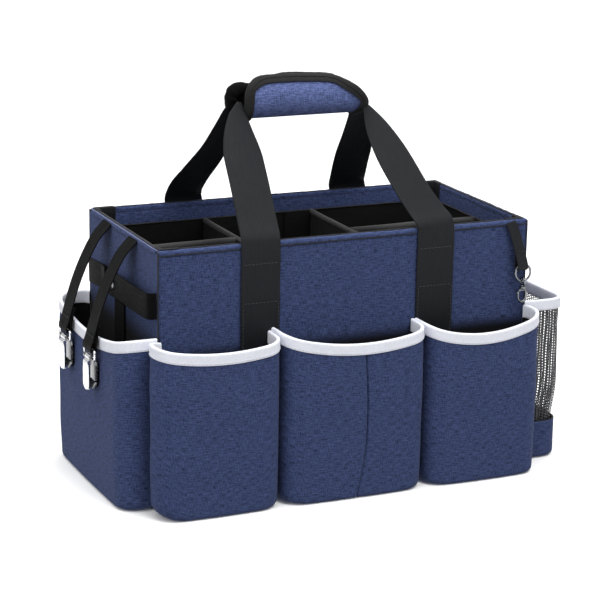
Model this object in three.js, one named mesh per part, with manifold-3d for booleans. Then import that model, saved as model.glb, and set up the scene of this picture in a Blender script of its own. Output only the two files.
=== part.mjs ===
// Fabric cleaning caddy: an open stiffened box with padded dividers, pockets round the outside, a wrapped
// webbing handle, two clip straps on the left rim and a snap hook on the front right corner.
// Millimetres, +Z up. The origin is the centre of the base's underside and the front faces -Y.
import * as THREE from 'three';
import { mergeVertices } from 'three/addons/utils/BufferGeometryUtils.js';
import Module from 'manifold-3d';

const wasm = await Module();
wasm.setup();

// ---- driving dimensions -------------------------------------------------------------------------------
const LENGTH = 370;
const WIDTH = 186;
const HEIGHT = 240;
const FABRIC = 1.2;
const BOARD = 3;
const GAP = 0.3;
const FACING_DEPTH = 18;
const WEBBING = 1.8;
const WEBBING_WIDTH = 38;
const WEBBING_X = 87.5;
const TAIL_BOTTOM = 14;
const TAIL_TOP = 238;

const POCKET_WALL = 2;
const POCKET_DEPTH = 35.5;
const END_POCKET_DEPTH = 34;
const MESH_POCKET_DEPTH = 45;
const MESH_WALL = 1.2;
const MESH_BAND_HEIGHT = 37;
const LEFT_SEAM_X = -77;
const RIGHT_SEAM_X = 67;
const POCKET_CORNER = 21;
const POCKET_FOOT_CORNER = 18;
const BINDING_HEIGHT = 12.5;
const BINDING_PROUD = 0.8;

const DIVIDER = 4;
const DIVIDER_TOP = 223;
const DIVIDER_FLAP = 27;
const CROSS_LEFT_X = -70;
const CROSS_RIGHT_X = 43;
const LONG_DIVIDER_Y = 1;
const LONG_DIVIDER_TOP_WIDTH = 7;

const GRIP_Z = 353.2;
const GRIP_HALF_Y = 17;
const GRIP_HALF_Z = 21.2;
const GRIP_WALL = 3.5;
const GRIP_LEFT_X = -70;
const HANDLE_HINGE = { y: 95.2, z: 239.4 };
const HANDLE_APEX = { y: 5, z: 352 };

// ---- derived places -----------------------------------------------------------------------------------
const HALF_L = LENGTH / 2;
const HALF_W = WIDTH / 2;
const PANEL = 2 * FABRIC + BOARD + 2 * GAP;
const INNER_L = HALF_L - PANEL;
const INNER_W = HALF_W - PANEL;
const FLOOR = 2 * FABRIC + BOARD + 2 * GAP;
const POCKET_BACK = HALF_W + GAP + WEBBING + GAP;

// ---- colours ------------------------------------------------------------------------------------------
const NAVY = { color: 0x35406b, roughness: 0.9, metalness: 0 };
const WHITE = { color: 0xe9eaf0, roughness: 0.8, metalness: 0 };
const BLACK_WEBBING = { color: 0x26282a, roughness: 0.8, metalness: 0 };
const BLACK_LINING = { color: 0x17181a, roughness: 0.7, metalness: 0 };
const BLACK_MESH = { color: 0x1c1d20, roughness: 0.75, metalness: 0 };
const BOARD_GREY = { color: 0x8d8c86, roughness: 0.8, metalness: 0 };
const CHROME = { color: 0xc9ccd0, roughness: 0.2, metalness: 1 };
const GUNMETAL = { color: 0x5b5e63, roughness: 0.3, metalness: 1 };

// ---- solids -------------------------------------------------------------------------------------------
const X_AXIS = new THREE.Vector3(1, 0, 0);
const Y_AXIS = new THREE.Vector3(0, 1, 0);
const Z_AXIS = new THREE.Vector3(0, 0, 1);
const SKETCH_FRAMES = {
  x: new THREE.Matrix4().makeBasis(Y_AXIS, Z_AXIS, X_AXIS),
  y: new THREE.Matrix4().makeBasis(X_AXIS, Z_AXIS, Y_AXIS.clone().negate()),
  z: new THREE.Matrix4().identity(),
};

function solidOf(geometry) {
  const bare = geometry.clone();
  bare.deleteAttribute('normal');
  bare.deleteAttribute('uv');
  const merged = mergeVertices(bare, 1e-4);
  return new wasm.Manifold(new wasm.Mesh({
    numProp: 3,
    vertProperties: new Float32Array(merged.attributes.position.array),
    triVerts: new Uint32Array(merged.index.array),
  }));
}

function geometryOf(solid) {
  const mesh = solid.getMesh();
  const geometry = new THREE.BufferGeometry();
  geometry.setAttribute('position', new THREE.BufferAttribute(mesh.vertProperties, 3));
  geometry.setIndex(new THREE.BufferAttribute(mesh.triVerts, 1));
  geometry.computeVertexNormals();
  return geometry;
}

function cut(base, ...tools) {
  return geometryOf(tools.reduce((solid, tool) => solid.subtract(solidOf(tool)), solidOf(base)));
}

function join(base, ...others) {
  return geometryOf(others.reduce((solid, other) => solid.add(solidOf(other)), solidOf(base)));
}

function overlap(a, b) {
  return geometryOf(solidOf(a).intersect(solidOf(b)));
}

// A sketch swept straight along one axis. The sketch's two numbers are (y, z), (x, z) or (x, y).
function prism(points, axis, from, to) {
  const shape = new THREE.Shape(points.map(([a, b]) => new THREE.Vector2(a, b)));
  const geometry = new THREE.ExtrudeGeometry(shape, { depth: to - from, bevelEnabled: false });
  geometry.translate(0, 0, axis === 'y' ? -to : from);
  geometry.applyMatrix4(SKETCH_FRAMES[axis]);
  return geometry;
}

function box([x0, x1], [y0, y1], [z0, z1]) {
  const geometry = new THREE.BoxGeometry(x1 - x0, y1 - y0, z1 - z0);
  geometry.translate((x0 + x1) / 2, (y0 + y1) / 2, (z0 + z1) / 2);
  return geometry;
}

// The outline of a flat strip of one thickness that follows a line of points.
function ribbon(points, thickness) {
  const last = points.length - 1;
  const normals = points.map((point, i) => {
    const [ax, ay] = points[Math.max(i - 1, 0)];
    const [bx, by] = points[Math.min(i + 1, last)];
    const length = Math.hypot(bx - ax, by - ay);
    return [-(by - ay) / length, (bx - ax) / length];
  });
  const side = (sign) => points.map(([x, y], i) => [
    x + sign * normals[i][0] * thickness / 2,
    y + sign * normals[i][1] * thickness / 2,
  ]);
  return [...side(-1), ...side(1).reverse()];
}

function smooth(points, divisions) {
  const curve = new THREE.CatmullRomCurve3(points.map(([a, b]) => new THREE.Vector3(a, b, 0)));
  return curve.getPoints(divisions).map((p) => [p.x, p.y]);
}

function arc(cx, cy, radius, fromDegrees, toDegrees, steps) {
  return Array.from({ length: steps + 1 }, (_, i) => {
    const angle = THREE.MathUtils.degToRad(fromDegrees + (toDegrees - fromDegrees) * i / steps);
    return [cx + radius * Math.cos(angle), cy + radius * Math.sin(angle)];
  });
}

const group = new THREE.Group();

function add(name, geometry, look, placeIn = group) {
  const mesh = new THREE.Mesh(geometry, new THREE.MeshStandardMaterial(look));
  mesh.name = name;
  placeIn.add(mesh);
  return mesh;
}

// ---- base ---------------------------------------------------------------------------------------------
function addBase() {
  add('base_cover', box([-HALF_L, HALF_L], [-HALF_W, HALF_W], [0, FABRIC]), NAVY);
  const inX = HALF_L - FABRIC - GAP;
  const inY = HALF_W - FABRIC - GAP;
  const boardBottom = FABRIC + GAP;
  add('base_board', box([-inX, inX], [-inY, inY], [boardBottom, boardBottom + BOARD]), BOARD_GREY);
  const liningX = INNER_L - GAP;
  const liningY = INNER_W - GAP;
  const lining = box([-liningX, liningX], [-liningY, liningY], [FLOOR - FABRIC, FLOOR]);
  add('floor_lining', lining, BLACK_LINING);
}

// ---- wall panels --------------------------------------------------------------------------------------
// A cover's section: the outer skin, the fold over the top edge and the facing that hangs down inside.
// `out` is the wall's outer face and `sign` points from the box's middle to that face.
function coverSection(out, sign) {
  const skinFoot = FABRIC + GAP;
  const place = (depth) => sign * (out - depth);
  const round = 1.2;
  return [
    [place(0), skinFoot],
    [place(0), HEIGHT - round],
    [place(round), HEIGHT],
    [place(PANEL - round), HEIGHT],
    [place(PANEL), HEIGHT - round],
    [place(PANEL), HEIGHT - FACING_DEPTH],
    [place(PANEL - FABRIC), HEIGHT - FACING_DEPTH],
    [place(PANEL - FABRIC), HEIGHT - FABRIC],
    [place(FABRIC), HEIGHT - FABRIC],
    [place(FABRIC), skinFoot],
  ];
}

const BOARD_Z = [FABRIC + 2 * GAP + BOARD, HEIGHT - FABRIC - GAP];
const LINING_Z = [FLOOR + GAP, HEIGHT - FACING_DEPTH - GAP];

function span(sign, near, far) {
  return sign > 0 ? [near, far] : [-far, -near];
}

// The front and back walls run between the skins of the end walls.
function addLongWall(name, sign) {
  const end = HALF_L - FABRIC - GAP;
  const boardY = span(sign, HALF_W - FABRIC - GAP - BOARD, HALF_W - FABRIC - GAP);
  const liningY = span(sign, INNER_W, INNER_W + FABRIC);
  add(`${name}_cover`, prism(coverSection(HALF_W, sign), 'x', -end, end), NAVY);
  add(`${name}_board`, box([-end + GAP, end - GAP], boardY, BOARD_Z), BOARD_GREY);
  add(`${name}_lining`, box([-INNER_L + GAP, INNER_L - GAP], liningY, LINING_Z), BLACK_LINING);
}

// The end walls' skins reach the corners, and the rest of them stands between the front and back walls.
function addEndWall(name, sign) {
  const inside = INNER_W - GAP;
  const skin = HALF_L - FABRIC - GAP / 2;
  const relief = (ySign) => box(
    span(sign, 0, skin),
    span(ySign, inside, HALF_W + 1),
    [-1, HEIGHT + 1],
  );
  const cover = cut(prism(coverSection(HALF_L, sign), 'y', -HALF_W, HALF_W), relief(1), relief(-1));
  const boardX = span(sign, HALF_L - FABRIC - GAP - BOARD, HALF_L - FABRIC - GAP);
  const liningX = span(sign, INNER_L, INNER_L + FABRIC);
  add(`${name}_cover`, cover, NAVY);
  add(`${name}_board`, box(boardX, [-inside, inside], BOARD_Z), BOARD_GREY);
  add(`${name}_lining`, box(liningX, [-inside, inside], LINING_Z), BLACK_LINING);
}

// A webbing strip folded into each inside corner.
function addCornerStrip(name, xSign, ySign) {
  const leg = 12;
  const thick = 0.8;
  const x = INNER_L - GAP;
  const y = INNER_W - GAP;
  const section = [
    [x, y],
    [x - leg, y],
    [x - leg, y - thick],
    [x - thick, y - thick],
    [x - thick, y - leg],
    [x, y - leg],
  ].map(([a, b]) => [xSign * a, ySign * b]);
  add(name, prism(section, 'z', FLOOR + GAP, HEIGHT - 3), BLACK_WEBBING);
}

// ---- pockets ------------------------------------------------------------------------------------------
// A pocket is drawn on the front wall: it runs from `from` to `to` along X and stands out towards -Y. `bulge`
// is how far each side swells past its seam, and `inset` draws the same outline further in.
function pocketOutline({ from, to, depth, bulge }, inset) {
  const left = from - bulge[0] + inset;
  const right = to + bulge[1] - inset;
  const front = depth - inset;
  const corner = POCKET_CORNER - inset;
  const crown = 2;
  const shape = new THREE.Shape();
  shape.moveTo(from + inset, 0);
  shape.quadraticCurveTo(left, 0.1 * depth, left, front - corner);
  shape.quadraticCurveTo(left, front, left + corner, front);
  shape.quadraticCurveTo((left + right) / 2, front + crown, right - corner, front);
  shape.quadraticCurveTo(right, front, right, front - corner);
  shape.quadraticCurveTo(right, 0.1 * depth, to - inset, 0);
  return shape.getPoints(4).map((p) => [p.x, -p.y]);
}

// The pocket's front elevation: a foot with rounded corners, and a rim that dips between its two ends.
function pocketElevation({ from, to, bulge, rim }, inset, rise) {
  const rimLeft = from - bulge[0];
  const rimRight = to + bulge[1];
  const rimHeight = (x) => {
    const t = (x - rimLeft) / (rimRight - rimLeft);
    return rim.left + (rim.right - rim.left) * t - 4 * rim.dip * t * (1 - t) + rise;
  };
  const left = rimLeft - 1 + inset;
  const right = rimRight + 1 - inset;
  const corner = POCKET_FOOT_CORNER - inset;
  const steps = 8;
  const between = Array.from(
    { length: steps - 1 },
    (_, i) => rimRight + (rimLeft - rimRight) * (i + 1) / steps,
  );
  return [
    ...arc(left + corner, inset + corner, corner, 180, 270, 4),
    ...arc(right - corner, inset + corner, corner, 270, 360, 4),
    ...[right, ...between, left].map((x) => [x, rimHeight(x)]),
  ];
}

function pocketBody(spec, inset, rise) {
  const tall = prism(pocketOutline(spec, inset), 'z', inset, HEIGHT);
  return overlap(tall, prism(pocketElevation(spec, inset, rise), 'y', -60, 1));
}

function pocketShell(spec) {
  const outer = pocketBody(spec, 0, -BINDING_HEIGHT - GAP);
  const hollow = pocketBody(spec, POCKET_WALL, 20);
  return cut(outer, hollow);
}

function pocketBinding(spec, wall) {
  const outer = overlap(
    prism(pocketOutline(spec, -BINDING_PROUD), 'z', 0, HEIGHT),
    prism(pocketElevation(spec, -BINDING_PROUD, 0), 'y', -60, 1),
  );
  const below = prism(pocketElevation(spec, -BINDING_PROUD - 2, -BINDING_HEIGHT), 'y', -60, 2);
  const hollow = prism(pocketOutline(spec, wall + BINDING_PROUD), 'z', -1, HEIGHT + 1);
  return cut(outer, below, hollow);
}

const FRONT_POCKETS = [
  {
    name: 'left',
    from: -HALF_L + 1,
    to: LEFT_SEAM_X - 1,
    bulge: [13, -0.5],
    rim: { left: 161, right: 158.5, dip: 6.5 },
  },
  {
    name: 'center',
    from: LEFT_SEAM_X + 1,
    to: RIGHT_SEAM_X - 1,
    bulge: [-0.5, -0.5],
    rim: { left: 161, right: 155.5, dip: 10 },
  },
  {
    name: 'right',
    from: RIGHT_SEAM_X + 1,
    to: HALF_L - 1,
    bulge: [-0.5, 2],
    rim: { left: 155.5, right: 158, dip: 11.5 },
  },
];

function addFrontPockets() {
  FRONT_POCKETS.forEach((place) => {
    const spec = { ...place, depth: POCKET_DEPTH };
    const pocket = add(`front_pocket_${place.name}`, pocketShell(spec), NAVY);
    const binding = add(`front_pocket_${place.name}_binding`, pocketBinding(spec, POCKET_WALL), WHITE);
    pocket.position.y = -POCKET_BACK;
    binding.position.y = -POCKET_BACK;
  });
}

// The pockets on the end walls are drawn as front pockets in a group that is turned a quarter of a turn.
function endGroup(sign) {
  const turned = new THREE.Group();
  turned.rotation.z = sign * Math.PI / 2;
  turned.position.x = sign * (HALF_L + GAP);
  group.add(turned);
  return turned;
}

function addEndPocket() {
  const spec = {
    from: -HALF_W + 1,
    to: HALF_W - 1,
    depth: END_POCKET_DEPTH,
    bulge: [3, 0],
    rim: { left: 160, right: 161, dip: 12 },
  };
  const turned = endGroup(-1);
  add('end_pocket', pocketShell(spec), NAVY, turned);
  add('end_pocket_binding', pocketBinding(spec, POCKET_WALL), WHITE, turned);
}

function addMeshPocket() {
  const spec = {
    from: -HALF_W + 1,
    to: HALF_W - 1,
    depth: MESH_POCKET_DEPTH,
    bulge: [2, 2],
    rim: { left: 160, right: 160, dip: 2 },
  };
  const turned = endGroup(1);
  const meshTop = -BINDING_HEIGHT - GAP;
  const wall = cut(
    overlap(
      prism(pocketOutline(spec, 0), 'z', MESH_BAND_HEIGHT + GAP, HEIGHT),
      prism(pocketElevation(spec, 0, meshTop), 'y', -60, 1),
    ),
    prism(pocketOutline(spec, MESH_WALL), 'z', 0, HEIGHT + 1),
  );
  const band = cut(
    overlap(pocketBody(spec, 0, 0), box([-200, 200], [-60, 1], [-1, MESH_BAND_HEIGHT])),
    pocketBody(spec, POCKET_WALL, 20),
  );
  add('mesh_pocket', wall, BLACK_MESH, turned);
  add('mesh_pocket_band', band, NAVY, turned);
  add('mesh_pocket_binding', pocketBinding(spec, MESH_WALL), WHITE, turned);
}

// ---- dividers -----------------------------------------------------------------------------------------
// A cross divider reaches from the front wall to the back wall, with a flap folded along each wall.
function addCrossDivider(name, x, flapSign) {
  const y = INNER_W - GAP;
  const flap = 1.2;
  const edge = x + flapSign * (DIVIDER / 2 + DIVIDER_FLAP);
  const back = x - flapSign * DIVIDER / 2;
  const face = x + flapSign * DIVIDER / 2;
  const section = [
    [back, -y], [edge, -y], [edge, -y + flap], [face, -y + flap],
    [face, y - flap], [edge, y - flap], [edge, y], [back, y],
  ];
  add(name, prism(section, 'z', FLOOR + GAP, DIVIDER_TOP), BLACK_LINING);
}

// A long divider runs between an end wall and a cross divider, with a flap at each end and a padded top edge.
function addLongDivider(name, [x0, x1]) {
  const y = LONG_DIVIDER_Y;
  const flap = 1.2;
  const reach = 20;
  const section = [
    [x0, y + DIVIDER / 2], [x0, y - reach], [x0 + flap, y - reach], [x0 + flap, y - DIVIDER / 2],
    [x1 - flap, y - DIVIDER / 2], [x1 - flap, y - reach], [x1, y - reach], [x1, y + DIVIDER / 2],
  ];
  const half = LONG_DIVIDER_TOP_WIDTH / 2;
  const roll = prism(arc(y, DIVIDER_TOP - half, half, 0, 330, 11), 'x', x0 + 2, x1 - 2);
  add(name, join(prism(section, 'z', FLOOR + GAP, DIVIDER_TOP - half), roll), BLACK_LINING);
}

function addDividers() {
  const clear = DIVIDER / 2 + GAP;
  addCrossDivider('cross_divider_left', CROSS_LEFT_X, 1);
  addCrossDivider('cross_divider_right', CROSS_RIGHT_X, -1);
  addLongDivider('long_divider_left', [-INNER_L + GAP, CROSS_LEFT_X - clear]);
  addLongDivider('long_divider_right', [CROSS_RIGHT_X + clear, INNER_L - GAP]);
}

// ---- handle -------------------------------------------------------------------------------------------
// Each half of the handle is one webbing. Its tails are sewn to the wall, and above the rim it is a flat loop
// that leans in to the grip. The loop is drawn as (x, distance up the slope from the hinge line).
const SLOPE = Math.atan2(HANDLE_HINGE.y - HANDLE_APEX.y, HANDLE_APEX.z - HANDLE_HINGE.z);
const RUN_LOW = 136.5;
const RUN_HIGH = 149;
const LOOPS = {
  front: {
    leftOuter: [[-106.5, 1], [-104, 25], [-103.5, 60], [-101, 98], [-91, 128], [-79, 144]],
    leftInner: [[-68.5, 1], [-66.5, 26], [-65, 52], [-68, 90], [-70, 116], [-72.5, 130]],
    rightInner: [[68.5, 1], [66, 10], [54.6, 46], [46.5, 74], [41, 98], [44, 115], [50.4, 130]],
    rightOuter: [[106.5, 1], [99.5, 14], [88.4, 47], [83.5, 66], [73, 89], [64, 113], [59, 138]],
  },
  rear: {
    leftOuter: [[-108.5, 1], [-108.5, 22], [-101, 42], [-89.5, 74], [-84, 105], [-83, 130], [-78, 144]],
    leftInner: [[-70.5, 1], [-72.5, 15], [-70, 33], [-63, 60], [-60, 85], [-64, 112], [-72.5, 130]],
    rightInner: [[66, 1], [61.6, 16], [57.5, 50], [56, 80], [54, 107], [50.4, 130]],
    rightOuter: [[104, 1], [98, 34], [94, 58], [88, 82], [78, 108], [66, 128], [59, 141]],
  },
};

function addHandleLoop(name, side, sign) {
  const edge = (line) => smooth(line, 7);
  const outline = [
    ...edge(side.leftOuter),
    [-72, RUN_HIGH],
    [50, RUN_HIGH],
    ...edge(side.rightOuter).reverse(),
    ...edge(side.rightInner),
    [50.4, RUN_LOW],
    [-72.5, RUN_LOW],
    ...edge(side.leftInner).reverse(),
  ];
  const loop = prism(outline, 'y', -WEBBING / 2, WEBBING / 2);
  const mesh = add(name, loop, BLACK_WEBBING);
  mesh.rotation.x = sign * SLOPE;
  mesh.position.set(0, sign * HANDLE_HINGE.y, HANDLE_HINGE.z);
}

function addWebbingTail(name, x, sign) {
  const y = span(sign, HALF_W + GAP, HALF_W + GAP + WEBBING);
  add(name, box([x - WEBBING_WIDTH / 2, x + WEBBING_WIDTH / 2], y, [TAIL_BOTTOM, TAIL_TOP]), BLACK_WEBBING);
}

// The padded grip is one half on each loop. The halves meet along the top and the underside.
function addGripHalf(name, sign) {
  const halfOval = (ry, rz, from, to, steps) => arc(0, 0, 1, from, to, steps).map(([a, b]) => [
    sign * (GAP / 2 + a * ry),
    GRIP_Z + b * rz,
  ]);
  const outer = halfOval(GRIP_HALF_Y - GAP / 2, GRIP_HALF_Z, -90, 90, 10);
  const inner = halfOval(GRIP_HALF_Y - GRIP_WALL, GRIP_HALF_Z - GRIP_WALL, 90, -90, 8);
  const shell = prism([...outer, ...inner], 'x', GRIP_LEFT_X, 60);
  const rightEnd = prism([
    [43, 330], [49.5, 347], [52, 354], [47, 360], [38, 366.5], [22, 372.5], [22, 380], [90, 380], [90, 330],
  ], 'y', -30, 30);
  const leftCorner = prism([
    [GRIP_LEFT_X, 360], [-67, 367], [-61, 372], [-50, 374.5], [-50, 380], [-90, 380], [-90, 360],
  ], 'y', -30, 30);
  add(name, cut(shell, rightEnd, leftCorner), NAVY);
}

function addHandle() {
  [['front', -1], ['rear', 1]].forEach(([side, sign]) => {
    addHandleLoop(`${side}_handle_webbing`, LOOPS[side], sign);
    addGripHalf(`${side}_grip_pad`, sign);
    addWebbingTail(`${side}_webbing_tail_left`, -WEBBING_X, sign);
    addWebbingTail(`${side}_webbing_tail_right`, WEBBING_X, sign);
  });
}

// ---- tool band on the left wall -----------------------------------------------------------------------
function addToolBand() {
  const band = 24;
  const fall = 0.06;
  const lean = new THREE.Matrix4().set(1, 0, 0, 0, 0, 1, 0, 0, 0, -fall, 1, 0, 0, 0, 0, 1);
  const frontLine = [
    [-187, -91.5], [-192, -90.5], [-193.6, -86], [-193.2, -70], [-191.6, -40], [-189.5, -10], [-188.3, 10],
    [-188.2, 26],
  ];
  const front = prism(ribbon(frontLine, 1.4), 'z', 173, 173 + band);
  front.applyMatrix4(lean);
  add('tool_band_front', front, BLACK_WEBBING);
  const rear = prism(ribbon([[-186.2, 91], [-186.2, 14]], 1.4), 'z', 174, 174 + band);
  rear.applyMatrix4(lean);
  add('tool_band_rear', rear, BLACK_WEBBING);
  add('tool_band_strip', box([-HALF_L - 1.5, -HALF_L - GAP], [-9, 18], [20, 170]), BLACK_WEBBING);
  const snap = new THREE.CylinderGeometry(5, 6, 2, 16);
  snap.rotateZ(Math.PI / 2);
  const placed = add('tool_band_snap', snap, GUNMETAL);
  placed.position.set(-190.3, 18, 184.5);
}

// ---- clip straps on the left rim ----------------------------------------------------------------------
const CLIP_STRAP_WIDTH = 23.5;
const CLIP_EYE = { x: -227, z: 140 };
const CLIP_PIVOT = { x: -227, z: 131.5 };
const CLIP_STRAPS = { front: -30, rear: 40 };

// A frame of square wire, bent round a rounded rectangle that stands in the YZ plane.
function wireFrame(halfY, halfZ, corner, radius) {
  const bends = [[1, 1, 0], [-1, 1, 90], [-1, -1, 180], [1, -1, 270]];
  const points = bends.flatMap(([sy, sz, turn]) => arc(
    sy * (halfY - corner), sz * (halfZ - corner), corner, turn, turn + 90, 3,
  ));
  const outer = prism(movedOutwards(points, radius), 'x', -radius, radius);
  const inner = prism(movedOutwards(points, -radius), 'x', -radius - 1, radius + 1);
  return cut(outer, inner);
}

// A closed line of points moved outwards (or inwards, where `offset` is negative).
function movedOutwards(points, offset) {
  const count = points.length;
  return points.map(([x, y], i) => {
    const [ax, ay] = points[(i + count - 1) % count];
    const [bx, by] = points[(i + 1) % count];
    const length = Math.hypot(bx - ax, by - ay);
    return [x + offset * (by - ay) / length, y - offset * (bx - ax) / length];
  });
}

function addClip(side, y) {
  const strapLine = smooth([
    [-186.9, 236.6], [-196, 225], [-207, 206], [-215.5, 184], [-221, 165], [-224, 148],
    [CLIP_EYE.x, CLIP_EYE.z + 2.6],
  ], 12);
  const halfStrap = CLIP_STRAP_WIDTH / 2;
  const strap = cut(
    join(
      prism(ribbon(strapLine, 1.6), 'y', y - halfStrap, y + halfStrap),
      prism(arc(CLIP_EYE.x, CLIP_EYE.z, 3.3, 0, 330, 11), 'y', y - halfStrap, y + halfStrap),
    ),
    prism(arc(CLIP_EYE.x, CLIP_EYE.z, 1.9, 0, 324, 9), 'y', y - 20, y + 20),
  );
  add(`clip_strap_${side}`, strap, BLACK_WEBBING);

  const halfDrop = (CLIP_EYE.z - CLIP_PIVOT.z) / 2;
  const wire = add(`clip_wire_loop_${side}`, wireFrame(14.4, halfDrop, 3, 1.1), CHROME);
  wire.position.set(CLIP_EYE.x, y, CLIP_EYE.z - halfDrop);

  addClipLeaf(`clip_jaw_${side}`, y, 1, CLIP_JAW);
  addClipLeaf(`clip_lever_${side}`, y, -1, CLIP_LEVER);
}

// Both leaves of a clip hang on the wire's lower bar by rolled eyes: the jaw by two at its sides, and the
// lever by one between them. `sign` is -1 for the leaf on the outer side, away from the box.
const CLIP_JAW = { reach: 3.6, halfWidth: 10, foot: 104.5, eyes: [[-10, -5.8], [5.8, 10]] };
const CLIP_LEVER = { reach: 4.4, halfWidth: 8.5, foot: 101.5, eyes: [[-5.4, 5.4]] };

function addClipLeaf(name, y, sign, leaf) {
  const { x, z } = CLIP_PIVOT;
  const face = (depth) => x + sign * (leaf.reach + depth);
  const [x0, x1] = [face(-0.6), face(0.6)].sort((a, b) => a - b);
  const top = z - 4.5;
  const plate = prism([
    [y - leaf.halfWidth, top], [y + leaf.halfWidth, top], [y + leaf.halfWidth, leaf.foot + 6],
    [y + leaf.halfWidth - 2.5, leaf.foot + 1.6], [y + 4, leaf.foot], [y - 4, leaf.foot],
    [y - leaf.halfWidth + 2.5, leaf.foot + 1.6], [y - leaf.halfWidth, leaf.foot + 6],
  ], 'x', x0, x1);
  const neck = [
    [face(-0.6), top - 1], [face(0.6), top - 1], [face(0.6), top + 1],
    [x + sign * 1.6, z + 2.1], [x + sign * 0.4, z - 2.5],
  ];
  const rolled = leaf.eyes.flatMap(([from, to]) => [
    prism(arc(x, z, 3.3, 0, 324, 9), 'y', y + from, y + to),
    prism(neck, 'y', y + from, y + to),
  ]);
  add(name, cut(join(plate, ...rolled), prism(arc(x, z, 2, 0, 324, 9), 'y', y - 20, y + 20)), CHROME);
}

// ---- snap hook on the front right corner --------------------------------------------------------------
const HOOK = { x: 178, y: -100, eyeZ: 196.6, ringZ: 190, swivelZ: 181.6 };

function torus(radius, wire, axis) {
  const geometry = new THREE.TorusGeometry(radius, wire, 8, 20);
  if (axis === 'x') {
    geometry.rotateY(Math.PI / 2);
  } else {
    geometry.rotateX(Math.PI / 2);
  }
  return geometry;
}

function hookStrap() {
  const top = { y: -94.6, z: 238.4 };
  const drop = Math.hypot(top.y - HOOK.y, top.z - HOOK.eyeZ);
  const lean = Math.atan2(HOOK.y - top.y, top.z - HOOK.eyeZ);
  const halfWidth = 6;
  const middle = smooth([[167, 0], [171.5, -11], [176, -24], [HOOK.x, -drop + 3.6]], 8);
  const outline = [
    ...middle.map(([x, s]) => [x - halfWidth, s]),
    ...middle.map(([x, s]) => [x + halfWidth, s]).reverse(),
  ];
  const flat = prism(outline, 'y', -0.7, 0.7);
  flat.rotateX(lean);
  flat.translate(0, top.y, top.z);
  const eye = prism(arc(HOOK.y, HOOK.eyeZ, 4.3, 0, 330, 11), 'x', HOOK.x - halfWidth, HOOK.x + halfWidth);
  const bore = prism(arc(HOOK.y, HOOK.eyeZ, 3.2, 0, 330, 11), 'x', HOOK.x - 10, HOOK.x + 10);
  return cut(join(flat, eye), bore);
}

function swivelEye() {
  const eye = torus(3.6, 0.9, 'x');
  const stem = new THREE.CylinderGeometry(1.2, 1.2, 4.6, 12);
  stem.rotateX(Math.PI / 2);
  stem.translate(0, 0, -6.2);
  const head = new THREE.CylinderGeometry(1.75, 1.75, 0.9, 12);
  head.rotateX(Math.PI / 2);
  head.translate(0, 0, -8.5);
  return join(eye, stem, head);
}

// The hook is a flat C with a barrel on top, drawn round its own middle. Its gap is on the left side.
const HOOK_BODY = { halfX: 5, low: -19.5, high: -4.6, thick: 3.4 };
function hookBody() {
  const middleZ = (HOOK_BODY.low + HOOK_BODY.high) / 2 - 0.8;
  const oval = (rx, rz) => arc(0, 0, 1, 0, 337.5, 15).map(([a, b]) => [a * rx, middleZ + b * rz]);
  const halfThick = HOOK_BODY.thick / 2;
  const barrel = new THREE.CylinderGeometry(3, 3, 2.6, 16);
  barrel.rotateX(Math.PI / 2);
  barrel.translate(0, 0, -6.3);
  const bore = new THREE.CylinderGeometry(1.5, 1.5, 8, 12);
  bore.rotateX(Math.PI / 2);
  bore.translate(0, 0, -6.3);
  const headSeat = new THREE.CylinderGeometry(2.1, 2.1, 1.6, 12);
  headSeat.rotateX(Math.PI / 2);
  headSeat.translate(0, 0, -8.5);
  return cut(
    join(prism(oval(HOOK_BODY.halfX, 7.4), 'y', -halfThick, halfThick), barrel),
    prism(oval(2.9, 5.2), 'y', -5, 5),
    box([-8, -1.6], [-5, 5], [middleZ - 3.8, middleZ + 3.8]),
    bore,
    headSeat,
  );
}

function addSnapHook() {
  add('hook_strap', hookStrap(), BLACK_WEBBING);
  const ring = add('hook_ring', torus(8, 1.1, 'y'), GUNMETAL);
  ring.position.set(HOOK.x, HOOK.y, HOOK.ringZ);
  const swivel = add('snap_hook_swivel', swivelEye(), GUNMETAL);
  swivel.position.set(HOOK.x, HOOK.y, HOOK.swivelZ);
  const hook = add('snap_hook', hookBody(), GUNMETAL);
  hook.position.set(HOOK.x, HOOK.y, HOOK.swivelZ);
  const gate = add('snap_hook_gate', box([-5, -3.4], [-1.5, 1.5], [-16.1, -9.4]), GUNMETAL);
  gate.position.set(HOOK.x, HOOK.y, HOOK.swivelZ);
}

// ---- assembly -----------------------------------------------------------------------------------------
addBase();
addLongWall('front', -1);
addLongWall('back', 1);
addEndWall('left', -1);
addEndWall('right', 1);
[['front', -1], ['back', 1]].forEach(([depthName, ySign]) => {
  addCornerStrip(`corner_strip_${depthName}_left`, -1, ySign);
  addCornerStrip(`corner_strip_${depthName}_right`, 1, ySign);
});
addFrontPockets();
addEndPocket();
addMeshPocket();
addDividers();
addHandle();
addToolBand();
Object.entries(CLIP_STRAPS).forEach(([side, y]) => addClip(side, y));
addSnapHook();

export default group;
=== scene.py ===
"""Fabric cleaning caddy: the looks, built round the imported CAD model.

Shapes are drawn in millimetres and built in metres. The front faces -Y and the base rests on z = 0.
"""
import math

import bmesh
import bpy
import numpy as np
from mathutils import Matrix, Vector, noise


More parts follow.
